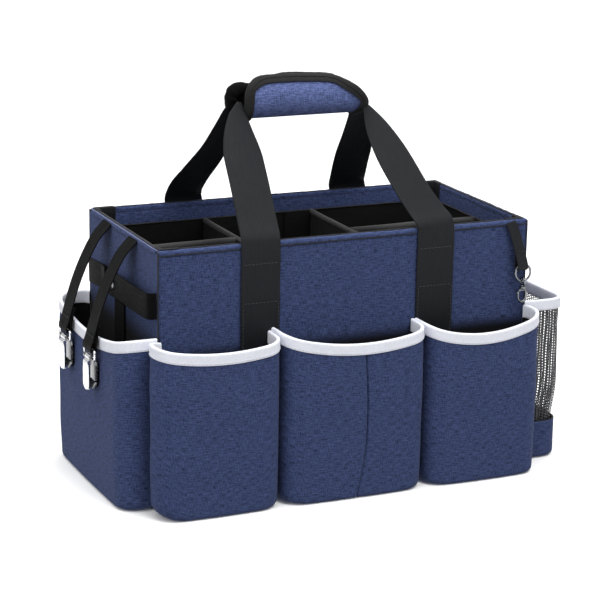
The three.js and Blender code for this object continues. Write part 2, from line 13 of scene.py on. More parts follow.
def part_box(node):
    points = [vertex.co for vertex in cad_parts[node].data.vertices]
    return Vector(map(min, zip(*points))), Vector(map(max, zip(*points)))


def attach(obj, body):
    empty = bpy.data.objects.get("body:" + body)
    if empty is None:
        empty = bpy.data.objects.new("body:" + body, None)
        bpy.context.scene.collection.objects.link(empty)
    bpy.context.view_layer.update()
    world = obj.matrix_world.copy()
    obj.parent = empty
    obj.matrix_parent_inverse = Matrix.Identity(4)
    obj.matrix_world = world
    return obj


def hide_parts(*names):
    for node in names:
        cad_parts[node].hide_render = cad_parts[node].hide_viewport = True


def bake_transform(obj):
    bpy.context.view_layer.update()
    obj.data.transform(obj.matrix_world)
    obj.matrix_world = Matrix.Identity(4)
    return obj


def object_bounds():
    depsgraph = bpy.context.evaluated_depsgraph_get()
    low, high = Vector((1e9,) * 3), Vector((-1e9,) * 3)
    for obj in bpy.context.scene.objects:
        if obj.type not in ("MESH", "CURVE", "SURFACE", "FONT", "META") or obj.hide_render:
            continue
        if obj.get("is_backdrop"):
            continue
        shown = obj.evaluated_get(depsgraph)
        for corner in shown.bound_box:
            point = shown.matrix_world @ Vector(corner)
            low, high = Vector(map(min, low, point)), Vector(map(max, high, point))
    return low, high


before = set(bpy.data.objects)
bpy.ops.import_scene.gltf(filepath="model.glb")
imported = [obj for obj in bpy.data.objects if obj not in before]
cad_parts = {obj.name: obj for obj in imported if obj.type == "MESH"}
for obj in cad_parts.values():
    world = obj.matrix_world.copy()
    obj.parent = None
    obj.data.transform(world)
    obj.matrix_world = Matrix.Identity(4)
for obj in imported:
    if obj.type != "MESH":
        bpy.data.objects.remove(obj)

MM = 0.001
CAD_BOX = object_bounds()


# ---- camera and studio ---------------------------------------------------------------------------
CAMERA_ANGLES = (-24.15, 15.11, 0.88)  # azimuth, elevation and roll, in degrees
CAMERA_TARGET = (-0.00642, 0, 0.1557)
CAMERA_DISTANCE = 2.0999
LENS, SENSOR = 132.46, 36
SKY_STRENGTH = (0.42, 1.5)  # from the horizon to straight above
LAMPS = {  # place, target, size and power
    "key": ((0.35, -1.5, 2.6), (0, 0, 0.15), 1.3, 40),
    "top": ((-0.2, 0.3, 2.8), (0, 0, 0.2), 2.0, 30),
    "left_fill": ((-1.9, -0.7, 0.9), (0, 0, 0.15), 1.0, 8),
}
FLOOR_REACH, FLOOR_TONE = 30, 0.93


def add_camera():
    azimuth, elevation, roll = (math.radians(a) for a in CAMERA_ANGLES)
    toward = Vector((
        math.sin(azimuth) * math.cos(elevation),
        -math.cos(azimuth) * math.cos(elevation),
        math.sin(elevation),
    ))
    right = Vector((math.cos(azimuth), math.sin(azimuth), 0))
    up = toward.cross(right)
    rolled_right = right * math.cos(roll) + up * math.sin(roll)
    rolled_up = up * math.cos(roll) - right * math.sin(roll)
    axes = Matrix((rolled_right, rolled_up, toward)).transposed().to_4x4()
    camera = bpy.data.objects.new("camera", bpy.data.cameras.new("camera"))
    camera.data.lens = LENS
    camera.data.sensor_width = SENSOR
    camera.data.clip_end = 60
    camera.matrix_world = Matrix.Translation(Vector(CAMERA_TARGET) + toward * CAMERA_DISTANCE) @ axes
    bpy.context.scene.collection.objects.link(camera)
    bpy.context.scene.camera = camera


def add_area_light(name, place, target, size, power):
    light = bpy.data.lights.new(name, "AREA")
    light.shape = "DISK"
    light.size = size
    light.energy = power
    lamp = bpy.data.objects.new(name, light)
    lamp.location = place
    aim = Vector(target) - Vector(place)
    lamp.rotation_euler = aim.to_track_quat("-Z", "Y").to_euler()
    bpy.context.scene.collection.objects.link(lamp)


def node(tree, kind, inputs=None, **settings):
    made = tree.nodes.new("ShaderNode" + kind)
    for key, value in settings.items():
        setattr(made, key, value)
    for key, value in (inputs or {}).items():
        if isinstance(value, bpy.types.NodeSocket):
            tree.links.new(value, made.inputs[key])
        else:
            made.inputs[key].default_value = value
    return made


def ranged(tree, value, low, high, to_low=0.0, to_high=1.0, **settings):
    """The value carried from one range onto another."""
    return node(tree, "MapRange", {0: value, 1: low, 2: high, 3: to_low, 4: to_high}, **settings).outputs[0]


def add_studio():
    scene = bpy.context.scene
    scene.view_settings.view_transform = "Standard"
    world = bpy.data.worlds.new("studio")
    world.use_nodes = True
    sky = world.node_tree
    height = node(sky, "SeparateXYZ", {0: node(sky, "TexCoord").outputs["Generated"]}).outputs[2]
    sky.nodes["Background"].inputs["Color"].default_value = (1, 1, 1, 1)
    sky.links.new(ranged(sky, height, -0.05, 1.0, *SKY_STRENGTH), sky.nodes["Background"].inputs["Strength"])
    scene.world = world
    for name, settings in LAMPS.items():
        add_area_light(name, *settings)
    floor_mesh = bpy.data.meshes.new("floor")
    corners = [(x * FLOOR_REACH, y * FLOOR_REACH, 0) for x, y in ((-1, -1), (1, -1), (1, 1), (-1, 1))]
    floor_mesh.from_pydata(corners, [], [(0, 1, 2, 3)])
    floor = bpy.data.objects.new("floor", floor_mesh)
    scene.collection.objects.link(floor)
    pale, _, shader = start_material("pale_floor", 0.9, Specular_IOR_Level=0.0)
    shader.inputs["Base Color"].default_value = (FLOOR_TONE, FLOOR_TONE, FLOOR_TONE, 1)
    floor_mesh.materials.append(pale)
    floor.visible_diffuse = False
    floor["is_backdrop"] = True


# ---- materials -----------------------------------------------------------------------------------
def linear(rgb):
    def channel(c):
        c /= 255
        return c / 12.92 if c <= 0.04045 else ((c + 0.055) / 1.055) ** 2.4
    return (*[channel(c) for c in rgb], 1)


def start_material(name, roughness, **shader_values):
    material = bpy.data.materials.new(name)
    material.use_nodes = True
    tree = material.node_tree
    shader = tree.nodes["Principled BSDF"]
    shader.inputs["Roughness"].default_value = roughness
    for key, value in shader_values.items():
        shader.inputs[key.replace("_", " ")].default_value = value
    return material, tree, shader


def coordinates(tree, flat):
    """The surface's own coordinates in metres: along the cloth, or through space for a solid piece."""
    if flat:
        return node(tree, "UVMap", uv_map="Weave").outputs[0]
    return node(tree, "TexCoord").outputs["Object"]


def math_node(tree, operation, a, b=0.0):
    return node(tree, "Math", {0: a, 1: b}, operation=operation).outputs[0]


def weighted(tree, a, share_a, b, share_b):
    """The sum of two fields, each times its share."""
    return math_node(tree, "ADD", math_node(tree, "MULTIPLY", a, share_a),
                     math_node(tree, "MULTIPLY", b, share_b))


def streaks(tree, where, per_metre, low, high, detail=2.0):
    """Noise that is stretched along one axis, as 0 to 1."""
    scaled = node(tree, "Mapping", {"Vector": where, "Scale": per_metre}).outputs[0]
    field = node(tree, "TexNoise", {"Vector": scaled, "Scale": 1.0, "Detail": detail}).outputs[0]
    return ranged(tree, field, low, high)


def sine(tree, value, pitch):
    turned = math_node(tree, "MULTIPLY", value, 2 * math.pi / pitch)
    return math_node(tree, "SINE", turned)


def plain_weave(tree, where, pitch, flat=True):
    """Humps of threads that cross at right angles, from -1 to 1."""
    split = node(tree, "SeparateXYZ", {0: where}).outputs
    u, v = (split[0], split[1]) if flat else (math_node(tree, "ADD", split[0], split[1]), split[2])
    return math_node(tree, "MULTIPLY", sine(tree, u, pitch), sine(tree, v, pitch))


def mix(tree, factor, a, b):
    made = node(tree, "Mix", {0: factor}, data_type="RGBA")
    for socket, value in ((made.inputs[6], a), (made.inputs[7], b)):
        if isinstance(value, bpy.types.NodeSocket):
            tree.links.new(value, socket)
        else:
            socket.default_value = value
    return made.outputs[2]


def paint(tree, shader, tone, dark, light):
    tree.links.new(mix(tree, tone, linear(dark), linear(light)), shader.inputs["Base Color"])


def roughen(tree, shader, field, low, high):
    tree.links.new(ranged(tree, field, 0.0, 1.0, low, high), shader.inputs["Roughness"])


def bumped(tree, shader, height, strength, distance):
    made = node(tree, "Bump", {"Height": height, "Strength": strength, "Distance": distance})
    tree.links.new(made.outputs[0], shader.inputs["Normal"])


OXFORD = (11, 19, 42), (75, 89, 133)
# near-black colour for painted shade on the wall inside a pocket's opening
POCKET_SHADE = (7, 8, 12)


def heathered_cloth(name, dark, light, flat=True, pocket_shade=None):
    """Oxford cloth of mixed dark and light yarns: uneven slubs run along both thread directions.

    `pocket_shade` gives the two heights over which a wall fades from the cloth's colour above to near black
    below: painted shade in the opening of the pocket before it.
    """
    material, tree, shader = start_material(name, 0.9, Specular_IOR_Level=0.12, Sheen_Weight=0.03,
                                            Sheen_Roughness=0.5)
    where = coordinates(tree, flat)
    scales = ((1300, 210, 1), (140, 1300, 1), (1900, 1900, 1)) if flat else (
        (1250, 1250, 210), (150, 150, 1300), (1900, 1900, 1900))
    warp, weft = (streaks(tree, where, scale, 0.35, 0.65, 2.5) for scale in scales[:2])
    broad = streaks(tree, where, scales[2], 0.3, 0.7)
    yarns = weighted(tree, warp, 0.46, weft, 0.54)
    colour = mix(tree, weighted(tree, yarns, 0.82, broad, 0.18), linear(dark), linear(light))
    # painted shade: below the pocket's rim the wall's colour fades to near black
    if pocket_shade:
        height = node(tree, "SeparateXYZ", {0: coordinates(tree, False)}).outputs[2]
        above = ranged(tree, height, *pocket_shade, interpolation_type="SMOOTHSTEP")
        colour = mix(tree, above, linear(POCKET_SHADE), colour)
    tree.links.new(colour, shader.inputs["Base Color"])
    roughen(tree, shader, warp, 0.78, 0.95)
    weave = plain_weave(tree, where, 0.0014, flat)
    height = math_node(tree, "ADD", math_node(tree, "MULTIPLY", weave, 0.5), yarns)
    bumped(tree, shader, height, 0.45, 0.0004)
    return material


def webbing(name, dark, light, roughness, shine):
    """Ribbed narrow webbing: ribs along the strap, crossed by the weft's picks."""
    rib, pick = 0.0017, 0.0014
    material, tree, shader = start_material(name, roughness, Specular_IOR_Level=shine,
                                            Sheen_Weight=0.02, Sheen_Roughness=0.4)
    where = coordinates(tree, True)
    across, along = node(tree, "SeparateXYZ", {0: where}).outputs[:2]
    ribs = sine(tree, across, rib)
    phase = math_node(tree, "MULTIPLY", math_node(tree, "SIGN", ribs), pick / 4)
    picks = sine(tree, math_node(tree, "ADD", along, phase), pick)
    fuzz = streaks(tree, where, (500, 60, 60), 0.25, 0.75)
    height = math_node(tree, "ADD", weighted(tree, ribs, 0.3, picks, 0.25),
                       math_node(tree, "MULTIPLY", fuzz, 0.35))
    paint(tree, shader, ranged(tree, height, -0.45, 0.75), dark, light)
    roughen(tree, shader, fuzz, roughness - 0.07, roughness + 0.12)
    bumped(tree, shader, height, 0.5, 0.0005)
    return material


def plain_cloth(name, dark, light, roughness, pitch=0.0006, crinkle=0.2, sheen=0.1):
    """Tightly woven one-colour cloth, with a slight crinkle. The defaults are for thread."""
    material, tree, shader = start_material(name, roughness, Specular_IOR_Level=0.22, Sheen_Weight=sheen)
    where = coordinates(tree, True)
    creases = streaks(tree, where, (70, 70, 70), 0.25, 0.75, 4.0)
    fine = streaks(tree, where, (420, 420, 420), 0.3, 0.7)
    paint(tree, shader, weighted(tree, creases, 0.5, fine, 0.5), dark, light)
    roughen(tree, shader, fine, roughness - 0.08, roughness + 0.08)
    height = weighted(tree, plain_weave(tree, where, pitch), 0.15, creases, crinkle)
    bumped(tree, shader, height, 0.5, 0.0006)
    return material


def open_mesh(name):
    """Net of knitted cells: yarn stays and the holes let what is behind show."""
    column, row = 0.0036, 0.0027
    material, tree, shader = start_material(name, 0.6, Specular_IOR_Level=0.4)
    where = coordinates(tree, True)
    split = node(tree, "SeparateXYZ", {0: where}).outputs
    wobble = streaks(tree, where, (55, 35, 1), 0.2, 0.8)
    u = math_node(tree, "ADD", split[0], math_node(tree, "MULTIPLY", wobble, 0.0012))
    step = math_node(tree, "MULTIPLY", math_node(tree, "SIGN", sine(tree, u, 2 * column)), 0.0007)
    rows = sine(tree, math_node(tree, "ADD", split[1], step), row)
    cell = math_node(tree, "ADD", sine(tree, u, column), math_node(tree, "MULTIPLY", rows, 0.8))
    tree.links.new(ranged(tree, cell, 0.42, 0.62, 1.0, 0.0), shader.inputs["Alpha"])
    paint(tree, shader, streaks(tree, where, (300, 300, 1), 0.3, 0.7), (30, 30, 33), (62, 62, 66))
    bumped(tree, shader, cell, 0.4, 0.0005)
    return material


def metal(name, colour, roughness):
    """Plated metal with light handling marks."""
    material, tree, shader = start_material(name, roughness, Metallic=1.0)
    marks = streaks(tree, coordinates(tree, False), (500, 500, 180), 0.3, 0.7, 4.0)
    shade = tuple(c * 0.8 for c in linear(colour)[:3]) + (1,)
    tree.links.new(mix(tree, marks, shade, linear(colour)), shader.inputs["Base Color"])
    roughen(tree, shader, marks, roughness * 0.7, roughness * 1.4)
    bumped(tree, shader, marks, 0.15, 0.0002)
    return material


def chipboard(name):
    material, tree, shader = start_material(name, 0.85)
    fibres = streaks(tree, coordinates(tree, False), (260, 260, 260), 0.25, 0.75, 5.0)
    paint(tree, shader, fibres, (120, 117, 108), (160, 157, 149))
    bumped(tree, shader, fibres, 0.3, 0.0005)
    return material


add_camera()
add_studio()

# each look: its material and the name of its slot
LOOKS = {
    "navy": (heathered_cloth("navy_oxford", *OXFORD), "navy_fabric"),
    # the navy cloth again, with painted shade below the pockets' rims on the front and left walls
    "navy_front": (heathered_cloth("navy_oxford_front_pocket_shade", *OXFORD, pocket_shade=(0.137, 0.152)), "navy_fabric"),
    "navy_left": (heathered_cloth("navy_oxford_left_pocket_shade", *OXFORD, pocket_shade=(0.144, 0.172)), "navy_fabric"),
    "white": (plain_cloth("white_binding_tape", (214, 216, 226), (232, 234, 242), 0.75, 0.0013, 0.3),
              "white_binding"),
    "webbing": (webbing("black_ribbed_webbing", (6, 6, 8), (25, 27, 32), 0.55, 0.17), "black_webbing"),
    "tape": (plain_cloth("black_binding_tape", (4, 4, 5), (15, 15, 17), 0.7, 0.0012, 0.35, 0.02),
             "black_webbing"),
    "lining": (plain_cloth("black_lining_cloth", (2, 2, 2), (12, 12, 12), 0.5, 0.0010, 0.8, 0.03),
               "black_lining"),
    "net": (open_mesh("black_net"), "black_mesh"),
    "grip": (heathered_cloth("navy_padding_cloth", (30, 38, 68), (112, 127, 182), flat=False), "grip_pad"),
    "thread": (plain_cloth("navy_thread", (16, 20, 38), (30, 36, 62), 0.6), "navy_fabric"),
    "piping": (plain_cloth("grey_edge_tape", (22, 22, 24), (50, 49, 50), 0.55, 0.0009, 0.5), "black_webbing"),
    # pale tone for the line along the left rim's top edge: painted highlight
    "edging": (plain_cloth("pale_rim_highlight", (92, 97, 130), (122, 128, 160), 0.6), "navy_fabric"),
    "white_thread": (plain_cloth("white_thread", (196, 198, 210), (226, 228, 236), 0.6), "white_binding"),
    # a darker copy of the ribbed webbing for the left wall's straps and the rear fold: painted shade
    "webbing_shaded_copy": (webbing("black_webbing_painted_shade", (3, 3, 4), (13, 13, 14), 0.6, 0.03), "black_webbing"),
    "grey_thread": (plain_cloth("grey_thread", (40, 41, 44), (66, 67, 70), 0.6), "black_webbing"),
    "black_thread": (plain_cloth("black_thread", (12, 12, 16), (32, 33, 38), 0.6), "black_webbing"),
    "board": (chipboard("grey_board"), "stiffener_board"),
    "chrome": (metal("chrome_plate", (214, 216, 220), 0.16), "chrome"),
    "steel": (metal("dark_steel_plate", (104, 105, 108), 0.24), "chrome"),
    "gunmetal": (metal("gunmetal_plate", (120, 122, 126), 0.2), "gunmetal"),
}


# ---- shape tools ---------------------------------------------------------------------------------
def arc_steps(points, axis, closed):
    """How far along the cloth each row or column lies, in millimetres, averaged across it."""
    after = np.roll(points, -1, axis=axis)
    gaps = np.linalg.norm(after - points, axis=2).mean(axis=1 - axis)
    if not closed:
        gaps = gaps[:-1]
    return np.concatenate([[0], np.cumsum(gaps)])


class Shape:
    """Grids of points that become one mesh, with the cloth's own coordinates in metres."""

    def __init__(self):
        self.points = []
        self.faces = []
        self.uvs = []

    def grid(self, points, wrap=False, loop=False, caps=False, ends=False, turned=False):
        """Adds rows of points.

        `wrap` closes each row and `loop` joins the last row to the first. `caps` fills the first and last
        rows, and `ends` the two sides of a looped sheet. `turned` swaps the cloth's two directions.
        """
        points = np.asarray(points, float)
        rows, columns = points.shape[:2]
        base = sum(len(p) for p in self.points)
        self.points.append(points.reshape(-1, 3))
        u = arc_steps(points, 1, wrap) * MM
        v = arc_steps(points, 0, loop) * MM
        for i in range(rows if loop else rows - 1):
            for j in range(columns if wrap else columns - 1):
                ring = [(i, j), (i, j + 1), (i + 1, j + 1), (i + 1, j)]
                self.faces.append([base + (a % rows) * columns + b % columns for a, b in ring])
                self.uvs.extend((v[a], u[b]) if turned else (u[b], v[a]) for a, b in ring)
        if ends:
            for column in (0, columns - 1):
                for i in range(rows // 2 - 1):
                    ring = [i, i + 1, rows - 2 - i, rows - 1 - i]
                    self.faces.append([base + a * columns + column for a in ring])
                    self.uvs.extend((u[column], v[a]) for a in ring)
        if caps:
            for row in (0, rows - 1):
                self.faces.append([base + row * columns + j for j in range(columns)])
                self.uvs.extend((u[j], v[row]) for j in range(columns))
        return self

    def make(self, name, look, body, nodes=(), second=None, crease=40, closed=True, ride=True):
        mesh = bpy.data.meshes.new(name)
        mesh.from_pydata((np.concatenate(self.points) * MM).tolist(), [], self.faces)
        layer = mesh.uv_layers.new(name="Weave")
        layer.data.foreach_set("uv", np.array(self.uvs, float).ravel())
        tidy = bmesh.new()
        tidy.from_mesh(mesh)
        bmesh.ops.remove_doubles(tidy, verts=tidy.verts, dist=1e-6)
        if closed:
            bmesh.ops.recalc_face_normals(tidy, faces=tidy.faces)
        for face in tidy.faces:
            face.smooth = True
        for edge in tidy.edges:
            if edge.is_manifold and edge.calc_face_angle(0) > math.radians(crease):
                edge.smooth = False
        tidy.to_mesh(mesh)
        tidy.free()
        piece = bpy.data.objects.new(name, mesh)
        bpy.context.scene.collection.objects.link(piece)
        for key in [look] + ([second] if second else []):
            mesh.materials.append(LOOKS[key][0])
        if nodes:
            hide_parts(*nodes)
        if ride:
            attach(piece, body)
        return piece


def spline(points, count):
    """A smooth line through the points, as `count` points evenly spaced along it."""
    p = np.asarray(points, float)
    p = np.concatenate([2 * p[:1] - p[1:2], p, 2 * p[-1:] - p[-2:-1]])
    fine = []
    for a, b, c, d in zip(p[:-3], p[1:-2], p[2:-1], p[3:]):
        t = np.linspace(0, 1, 24, endpoint=False)[:, None]
        fine.append(0.5 * (2 * b + (c - a) * t + (2 * a - 5 * b + 4 * c - d) * t ** 2
                           + (3 * b - a - 3 * c + d) * t ** 3))
    line = np.concatenate(fine + [p[-2:-1]])
    return spaced(line, count)


def spaced(line, count):
    """The line again, as `count` evenly spaced points."""
    along = np.concatenate([[0], np.cumsum(np.linalg.norm(np.diff(line, axis=0), axis=1))])
    at = np.linspace(0, along[-1], count)
    return np.stack([np.interp(at, along, line[:, k]) for k in range(line.shape[1])], axis=1)


def tangents(line):
    return unit(np.gradient(line, axis=0))


def unit(vectors):
    return vectors / np.maximum(np.linalg.norm(vectors, axis=-1, keepdims=True), 1e-9)


def wander(x, y, z):
    """Smooth noise at a place, from about -1 to 1."""
    return noise.noise(Vector((x, y, z)))


def flat_section(half_width, half_thick, count):
    """A strap's cross-section as (across, height) pairs, with rounded edges."""
    t = min(half_thick, half_width / 2)
    inner = np.linspace(-(half_width - 2 * t), half_width - 2 * t, count)
    edge = [(-half_width, 0), (-half_width + 0.3 * t, 0.71), (-half_width + t, 1)]
    top = edge + [(x, 1) for x in inner] + [(-x, h) for x, h in reversed(edge)]
    bottom = [(x, -h) for x, h in reversed(top[1:-1])]
    return np.array([(x, h * half_thick) for x, h in top + bottom])


def strap_grid(path, side, widths, thick, cup=None, count=9):
    """Rings of a strap along `path`. `side` points across it, and `cup` rolls it lengthwise, in radians."""
    path = np.asarray(path, float)
    side = unit(np.broadcast_to(np.asarray(side, float), path.shape))
    face = unit(np.cross(tangents(path), side))
    side = unit(np.cross(face, tangents(path)))
    widths = np.broadcast_to(widths, len(path))
    cup = np.zeros(len(path)) if cup is None else cup
    rings = []
    for centre, across, out, width, roll in zip(path, side, face, widths, cup):
        ring = []
        for x, h in flat_section(width / 2, thick / 2, count):
            if abs(roll) < 1e-3:
                ring.append(centre + across * x + out * h)
                continue
            radius = width / roll
            angle = x / radius
            lift = radius * (1 - math.cos(angle)) - radius * (1 - math.cos(roll / 2)) / 2
            normal = across * -math.sin(angle) + out * math.cos(angle)
            ring.append(centre + across * radius * math.sin(angle) + out * lift + normal * h)
        rings.append(ring)
    return rings


def strap(name, path, side, widths, thick, look, body, nodes=(), cup=None, **more):
    return Shape().grid(strap_grid(path, side, widths, thick, cup), wrap=True, caps=True).make(
        name, look, body, nodes, **more)


def square_to(axis):
    """A unit vector at right angles to the axis."""
    return unit(np.cross(axis, (0.0, 1.0, 0.0) if abs(axis[1]) < 0.9 else (1.0, 0.0, 0.0)))


def tube_grid(path, radii, sides=12, closed=False):
    path = np.asarray(path, float)
    line = tangents(np.concatenate([path[-1:], path, path[:1]]))[1:-1] if closed else tangents(path)
    first = square_to(line[0])
    radii = np.broadcast_to(radii, len(path))
    rings = []
    for centre, along, radius in zip(path, line, radii):
        first = unit(first - along * (first @ along))
        second = np.cross(along, first)
        angles = np.linspace(0, 2 * math.pi, sides, endpoint=False)
        rings.append([centre + radius * (first * math.cos(a) + second * math.sin(a)) for a in angles])
    return rings


def lathe_grid(profile, centre, axis, sides=24):
    """Rings of (radius, height) pairs turned round an axis through `centre`."""
    axis = unit(np.asarray(axis, float))
    first = square_to(axis)
    second = np.cross(axis, first)
    angles = np.linspace(0, 2 * math.pi, sides, endpoint=False)
    return [[centre + axis * h + r * (first * math.cos(a) + second * math.sin(a)) for a in angles]
            for r, h in profile]


STITCH, STITCH_GAP = 2.3, 1.1


def add_stitches(shape, line, out, radius, lift):
    """A row of thread stitches on `line`, standing off along `out`."""
    line = np.asarray(line, float)
    out = np.broadcast_to(np.asarray(out, float), line.shape)
    total = np.linalg.norm(np.diff(line, axis=0), axis=1).sum()
    count = max(2, int(total / (STITCH + STITCH_GAP)))
    fine = spaced(np.concatenate([line, out], axis=1), count * 4 + 1)
    for k in range(count):
        points = fine[4 * k:4 * k + 4, :3]
        lifts = unit(fine[4 * k:4 * k + 4, 3:]) * (radius * np.array([0.0, 1, 1, 0.0]) + lift)[:, None]
        ends = radius * np.array([0.45, 1, 1, 0.45])
        shape.grid(tube_grid(points + lifts, ends, 5), wrap=True, caps=True)


def stitches(name, lines, look, body, radius, lift=0.0):
    shape = Shape()
    for line, out in lines:
        add_stitches(shape, line, out, radius, lift)
    shape.make(name, look, body)


def standing(profile, y):
    """A line of (x, z) pairs, at one y."""
    return np.stack([profile[:, 0], np.full(len(profile), y), profile[:, 1]], axis=1)


# ---- sizes shared with the CAD -------------------------------------------------------------------
def corners_mm(name):
    low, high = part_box(name)
    return np.array(low) / MM, np.array(high) / MM


HALF_L, HALF_W = corners_mm("base_cover")[1][:2]
HEIGHT = corners_mm("front_cover")[1][2]
PANEL = HALF_W - abs(corners_mm("front_lining")[1][1])
POCKET_FACE = corners_mm("front_pocket_center")[1][1]
WALLS = [("front", -1, True), ("back", 1, True), ("left", -1, False), ("right", 1, False)]


# ---- walls ---------------------------------------------------------------------------------------
def wall_place(sign, long_wall):
    """Turns (along, depth from the outer face, height) into a place on one wall."""
    def place(a, d, z):
        if long_wall:
            return (a, sign * (HALF_W - d), z)
        return (sign * (HALF_L - d), a, z)
    return place


def bent_ends(a, half, radius):
    """How far a panel's face turns inwards near its two ends."""
    near = np.clip(radius - (half - np.abs(a)), 0, radius)
    return radius - np.sqrt(radius ** 2 - near ** 2)


def end_spaced(half, step):
    """Even places along a panel, with closer ones near its two ends."""
    middle = np.linspace(-half + 4, half - 4, int(2 * half / step))
    ends = [half - f for f in (3.0, 1.6, 0.8, 0.3, 0.0)]
    return np.array([-e for e in reversed(ends)] + list(middle) + ends)


SKIN, SKIN_BEND = 1.1, 1.2  # how thick a wall's cloth is, and how far round its ends turn in
RIM_STITCHES = ((0.15, 5.6, 1), (5.75, 5.2, -1))  # depth, drop and side of the rows under the rim


def skin_grid(place, half, low, high, seed):
    """A cloth skin over a board: a thin closed sheet with soft hollows, whose ends turn in."""
    along = end_spaced(half, 7)
    up = np.concatenate([[low, low + 1.5], np.linspace(low + 5, high, 30)])
    rows = []
    for z in up:
        dents = np.array([wander(a / 45 + seed, z / 38, seed) * 0.35
                          + wander(a / 14, z / 16 + seed, seed) * 0.12 for a in along])
        face = np.clip(0.25 + dents, 0, 0.75) + bent_ends(along, half, SKIN_BEND)
        rows.append((z, face))
    front = [[place(a, d, z) for a, d in zip(along, face)] for z, face in rows]
    back = [[place(a, d + SKIN, z) for a, d in zip(along, face)] for z, face in reversed(rows)]
    return front + back


# (depth, drop) round the rolled edge and the facing, from outside to inside
RIM_PROFILE = [
    (1.0, -4.6), (0.25, -4.4), (-0.05, -3.6), (-0.1, -2.4), (0.25, -1.0), (1.1, -0.25), (2.2, 0.0),
    (3.4, 0.0), (4.7, -0.2), (5.5, -0.8), (5.95, -1.9), (6.0, -3.4), (5.65, -4.7), (5.9, -5.8), (6.0, -8.0),
    (6.0, -12.0), (6.0, -16.4), (5.85, -17.6), (5.3, -18.0), (4.9, -17.6), (4.85, -14.0), (4.8, -8.0),
    (4.75, -3.0), (4.5, -1.35), (1.5, -1.35), (1.2, -2.2), (1.2, -4.0),
]


def rim_grid(place, half, seed):
    """The rolled top edge and the facing inside it, along one wall."""
    along = end_spaced(half, 5)
    rings = []
    for a in along:
        sway = 0.45 * wander(a / 33, seed, 0) + 0.25 * wander(a / 9, seed, 3)
        pucker = 0.5 * wander(a / 5.5, seed, 7)
        ring = []
        for d, drop in RIM_PROFILE:
            low_edge = pucker if -5 < drop < -3.5 and d < 2 else 0.0
            wave = 0.3 * wander(a / 30, drop / 12, seed + 5) if drop < -5 else 0.0
            z = HEIGHT + drop + low_edge + (sway if drop > -6 else 0) - 0.4
            ring.append(place(a, d + wave if d > 4.9 else d, z))
        rings.append(ring)
    return rings


def add_wall(name, sign, long_wall, seed):
    place = wall_place(sign, long_wall)
    skin_half, rim_half = (HALF_L - 1.5,) * 2 if long_wall else (HALF_W, HALF_W - PANEL - 0.3)
    cover = Shape()
    cover.grid(skin_grid(place, skin_half, 1.5, HEIGHT - 3.5, seed), loop=True)
    cover.grid(rim_grid(place, rim_half, seed), wrap=True, caps=True, turned=True)
    # the front and left walls take the looks with painted shade inside their pockets' openings
    look = f"navy_{name}" if name in ("front", "left") else "navy"
    cover.make(f"{name}_cover_cloth", look, "caddy", [f"{name}_cover"])
    along = np.linspace(2 - rim_half, rim_half - 2, 60)
    out = np.array(place(0, 0, 0)) - np.array(place(0, 1, 0))
    rows = [(np.array([place(a, depth, HEIGHT - drop) for a in along]), side * out)
            for depth, drop, side in RIM_STITCHES]
    stitches(f"{name}_rim_stitching", rows, "thread", "caddy", 0.25)


def add_lining(name, sign, long_wall, seed):
    place = wall_place(sign, long_wall)
    low, high = corners_mm(f"{name}_lining")
    half = high[0] if long_wall else high[1]
    along = np.linspace(-half, half, 56 if long_wall else 30)
    up = np.linspace(low[2], high[2], 30)
    def depth(a, z):
        hollow = 0.5 * wander(a / 26 + seed, z / 34, 1) + 0.25 * wander(a / 9, z / 11, seed)
        return PANEL - 0.5 - 0.5 * hollow
    front = [[place(a, depth(a, z), z) for a in along] for z in up]
    back = [[place(a, depth(a, z) - 0.5, z) for a in along] for z in reversed(up)]
    Shape().grid(front + back, loop=True).make(f"{name}_lining_cloth", "lining", "caddy", [f"{name}_lining"])


def add_sheet_panel(name, node_name, look, seed, lift):
    """A flat cloth panel lying level, with soft hollows and rounded edges."""
    low, high = corners_mm(node_name)
    x = np.linspace(low[0], high[0], 60)
    y = np.linspace(low[1], high[1], 32)
    middle = (low[2] + high[2]) / 2
    half = (high[2] - low[2]) / 2
    def level(a, b, side):
        edge = min(a - low[0], high[0] - a, b - low[1], high[1] - b)
        thin = half * min(1.0, 0.3 + edge / 3)
        wave = lift * wander(a / 32 + seed, b / 30, seed)
        return middle + side * thin + wave
    top = [[(a, b, level(a, b, 1)) for a in x] for b in y]
    bottom = [[(a, b, level(a, b, -1)) for a in x] for b in reversed(y)]
    Shape().grid(top + bottom, loop=True).make(name, look, "caddy", [node_name])


def add_walls():
    for seed, (name, sign, long_wall) in enumerate(WALLS):
        add_wall(name, sign, long_wall, seed * 3.7 + 0.4)
        add_lining(name, sign, long_wall, seed * 2.3 + 0.9)
    add_sheet_panel("base_cloth", "base_cover", "navy", 1.7, 0.0)
    add_sheet_panel("floor_lining_cloth", "floor_lining", "lining", 4.1, 0.25)


# each cord along a wall's top: sign, long wall, depth, drop and radius. The left wall's thick cord over the
# rim's top is painted shade: a dark band where the rim top lies in shade.
RIM_CORDS_AND_SHADE = [
    (-1, True, 0.05, 4.3, 0.5), (1, True, 0.05, 4.3, 0.5), (1, True, 4.6, 0.1, 0.6),
    (-1, False, 3.6, -0.1, 1.1), (1, False, 4.6, 0.1, 0.9), (1, False, 0.4, 0.9, 0.5),
    (-1, True, 5.0, 0.3, 0.9),
]


